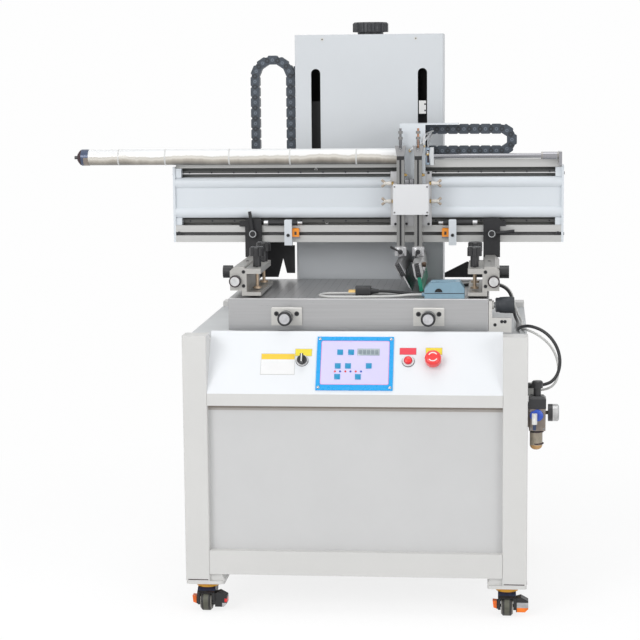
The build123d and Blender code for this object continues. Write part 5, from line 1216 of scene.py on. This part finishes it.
# Air unit: a filter regulator on the right front post with a black adjusting head, a marbled
# plastic body, a smoky bowl, a pressure gauge and a blue port with a white elbow.
air_zones = [
    box_zone((0.60, 0.60, 0.58), 0.4, 0.0, (405, 60, 530), (460, 110, 580)),
    box_zone((0.27, 0.225, 0.19), 0.35, 0.1, (418, 18.5, 462), (465, 60, 516)),
    box_zone((0.33, 0.285, 0.22), 0.22, 0.0, (420, 18, 425), (465, 60, 456)),
    box_zone((0.50, 0.28, 0.10), 0.25, 0.0, (420, 18, 410), (465, 60, 425)),
    box_zone((0.50, 0.50, 0.50), 0.3, 0.6, (480, 10, 480), (500, 70, 530)),
    box_zone((0.015, 0.07, 0.46), 0.35, 0.0, (420, 8.0, 486), (462, 18.5, 514)),
    box_zone((0.76, 0.76, 0.74), 0.4, 0.0, (420, -5, 480), (462, 8.0, 510)),
    box_zone((0.02, 0.04, 0.10), 0.4, 0.0, (425, -5, 460), (450, 12, 481))]
dress("air_unit",
      finish_material("air_unit_finish", (0.016, 0.016, 0.018), 0.4, group=mottle, vary=0.30, scale=55,
                      bump=0.2, coat=0.15, zones=air_zones))
screws("air_unit_screws", "cabinet", [(x, 18.9, z) for x in (427, 459) for z in (467, 511)], 2.2, 0.8, FRONT,
       bright_steel, hole_shade, 0.6)
piece("bowl_ribs", "cabinet", black_and_shade, [
    (turned((15.7, 0.0), (16.4, 0.6), (16.4, 2.4), (15.7, 3.0)), at(443, 39, z)) for z in (456.5, 427)])
piece("port_collar", "cabinet",
      finish_material("port_blue", (0.015, 0.08, 0.50), 0.3, vary=0.06, scale=60, coat=0.3),
      [(turned((13.5, 0.0), (14.5, 1.5), (14.0, 6.5), (11.0, 8.0)), at(443, 18.5, 501, 90))])
piece("gauge_glass", "cabinet", lcd_green,
      [(turned((18.4, 0.0), (18.2, 0.8), (14.0, 1.2)), at(494.4, 39, 504, 0, 90))])
piece("gauge_needle", "cabinet", lamp_red, [(slab(0.5, 1.4, 13.0, 0.2), at(495.8, 42, 508, 38))])

# Foot switch: a ribbed blue plastic pedal on a base, lying loose on the table, with an open slot
# in its front edge. The plug lies beside it, black moulded plastic with two flat brass pins.
switch_blue = finish_material(
    "foot_switch_blue", (0.21, 0.34, 0.43), 0.4, vary=0.06, scale=60, bump=0.2, coat=0.1,
    zones=[box_zone((0.05, 0.07, 0.09), 0.6, 0.0, (160, 140, 780.1), (270, 220, 782.1))])
dress("foot_switch", switch_blue)
piece("pedal_ribs", "cabinet", switch_blue,
      [(slab(62, 3.0, 1.4, 0.5), at(213, y, 808.6, 0, -1.6)) for y in range(158, 208, 7)])
half_round = [(9.5 * math.cos(math.pi * step / 12), 9.5 * math.sin(math.pi * step / 12))
              for step in range(13)]
# The slot in the pedal's front edge is a near-black half disc: painted shade.
piece("pedal_slot", "cabinet", hole_shade, [(prism(half_round, 0.8), at(201, 148.2, 784, 90))])
dress("plug", finish_material("plug_black", (0.018, 0.018, 0.02), 0.42, vary=0.25, scale=70, bump=0.2, zones=[
    box_zone((0.72, 0.50, 0.20), 0.28, 1.0, (-30, 170, 760), (-8.2, 220, 800))]))
screws("plug_screw", "cabinet", [(10, 194, 794.2)], 3.0, 0.5, UP, bright_steel, hole_shade, 0.5)
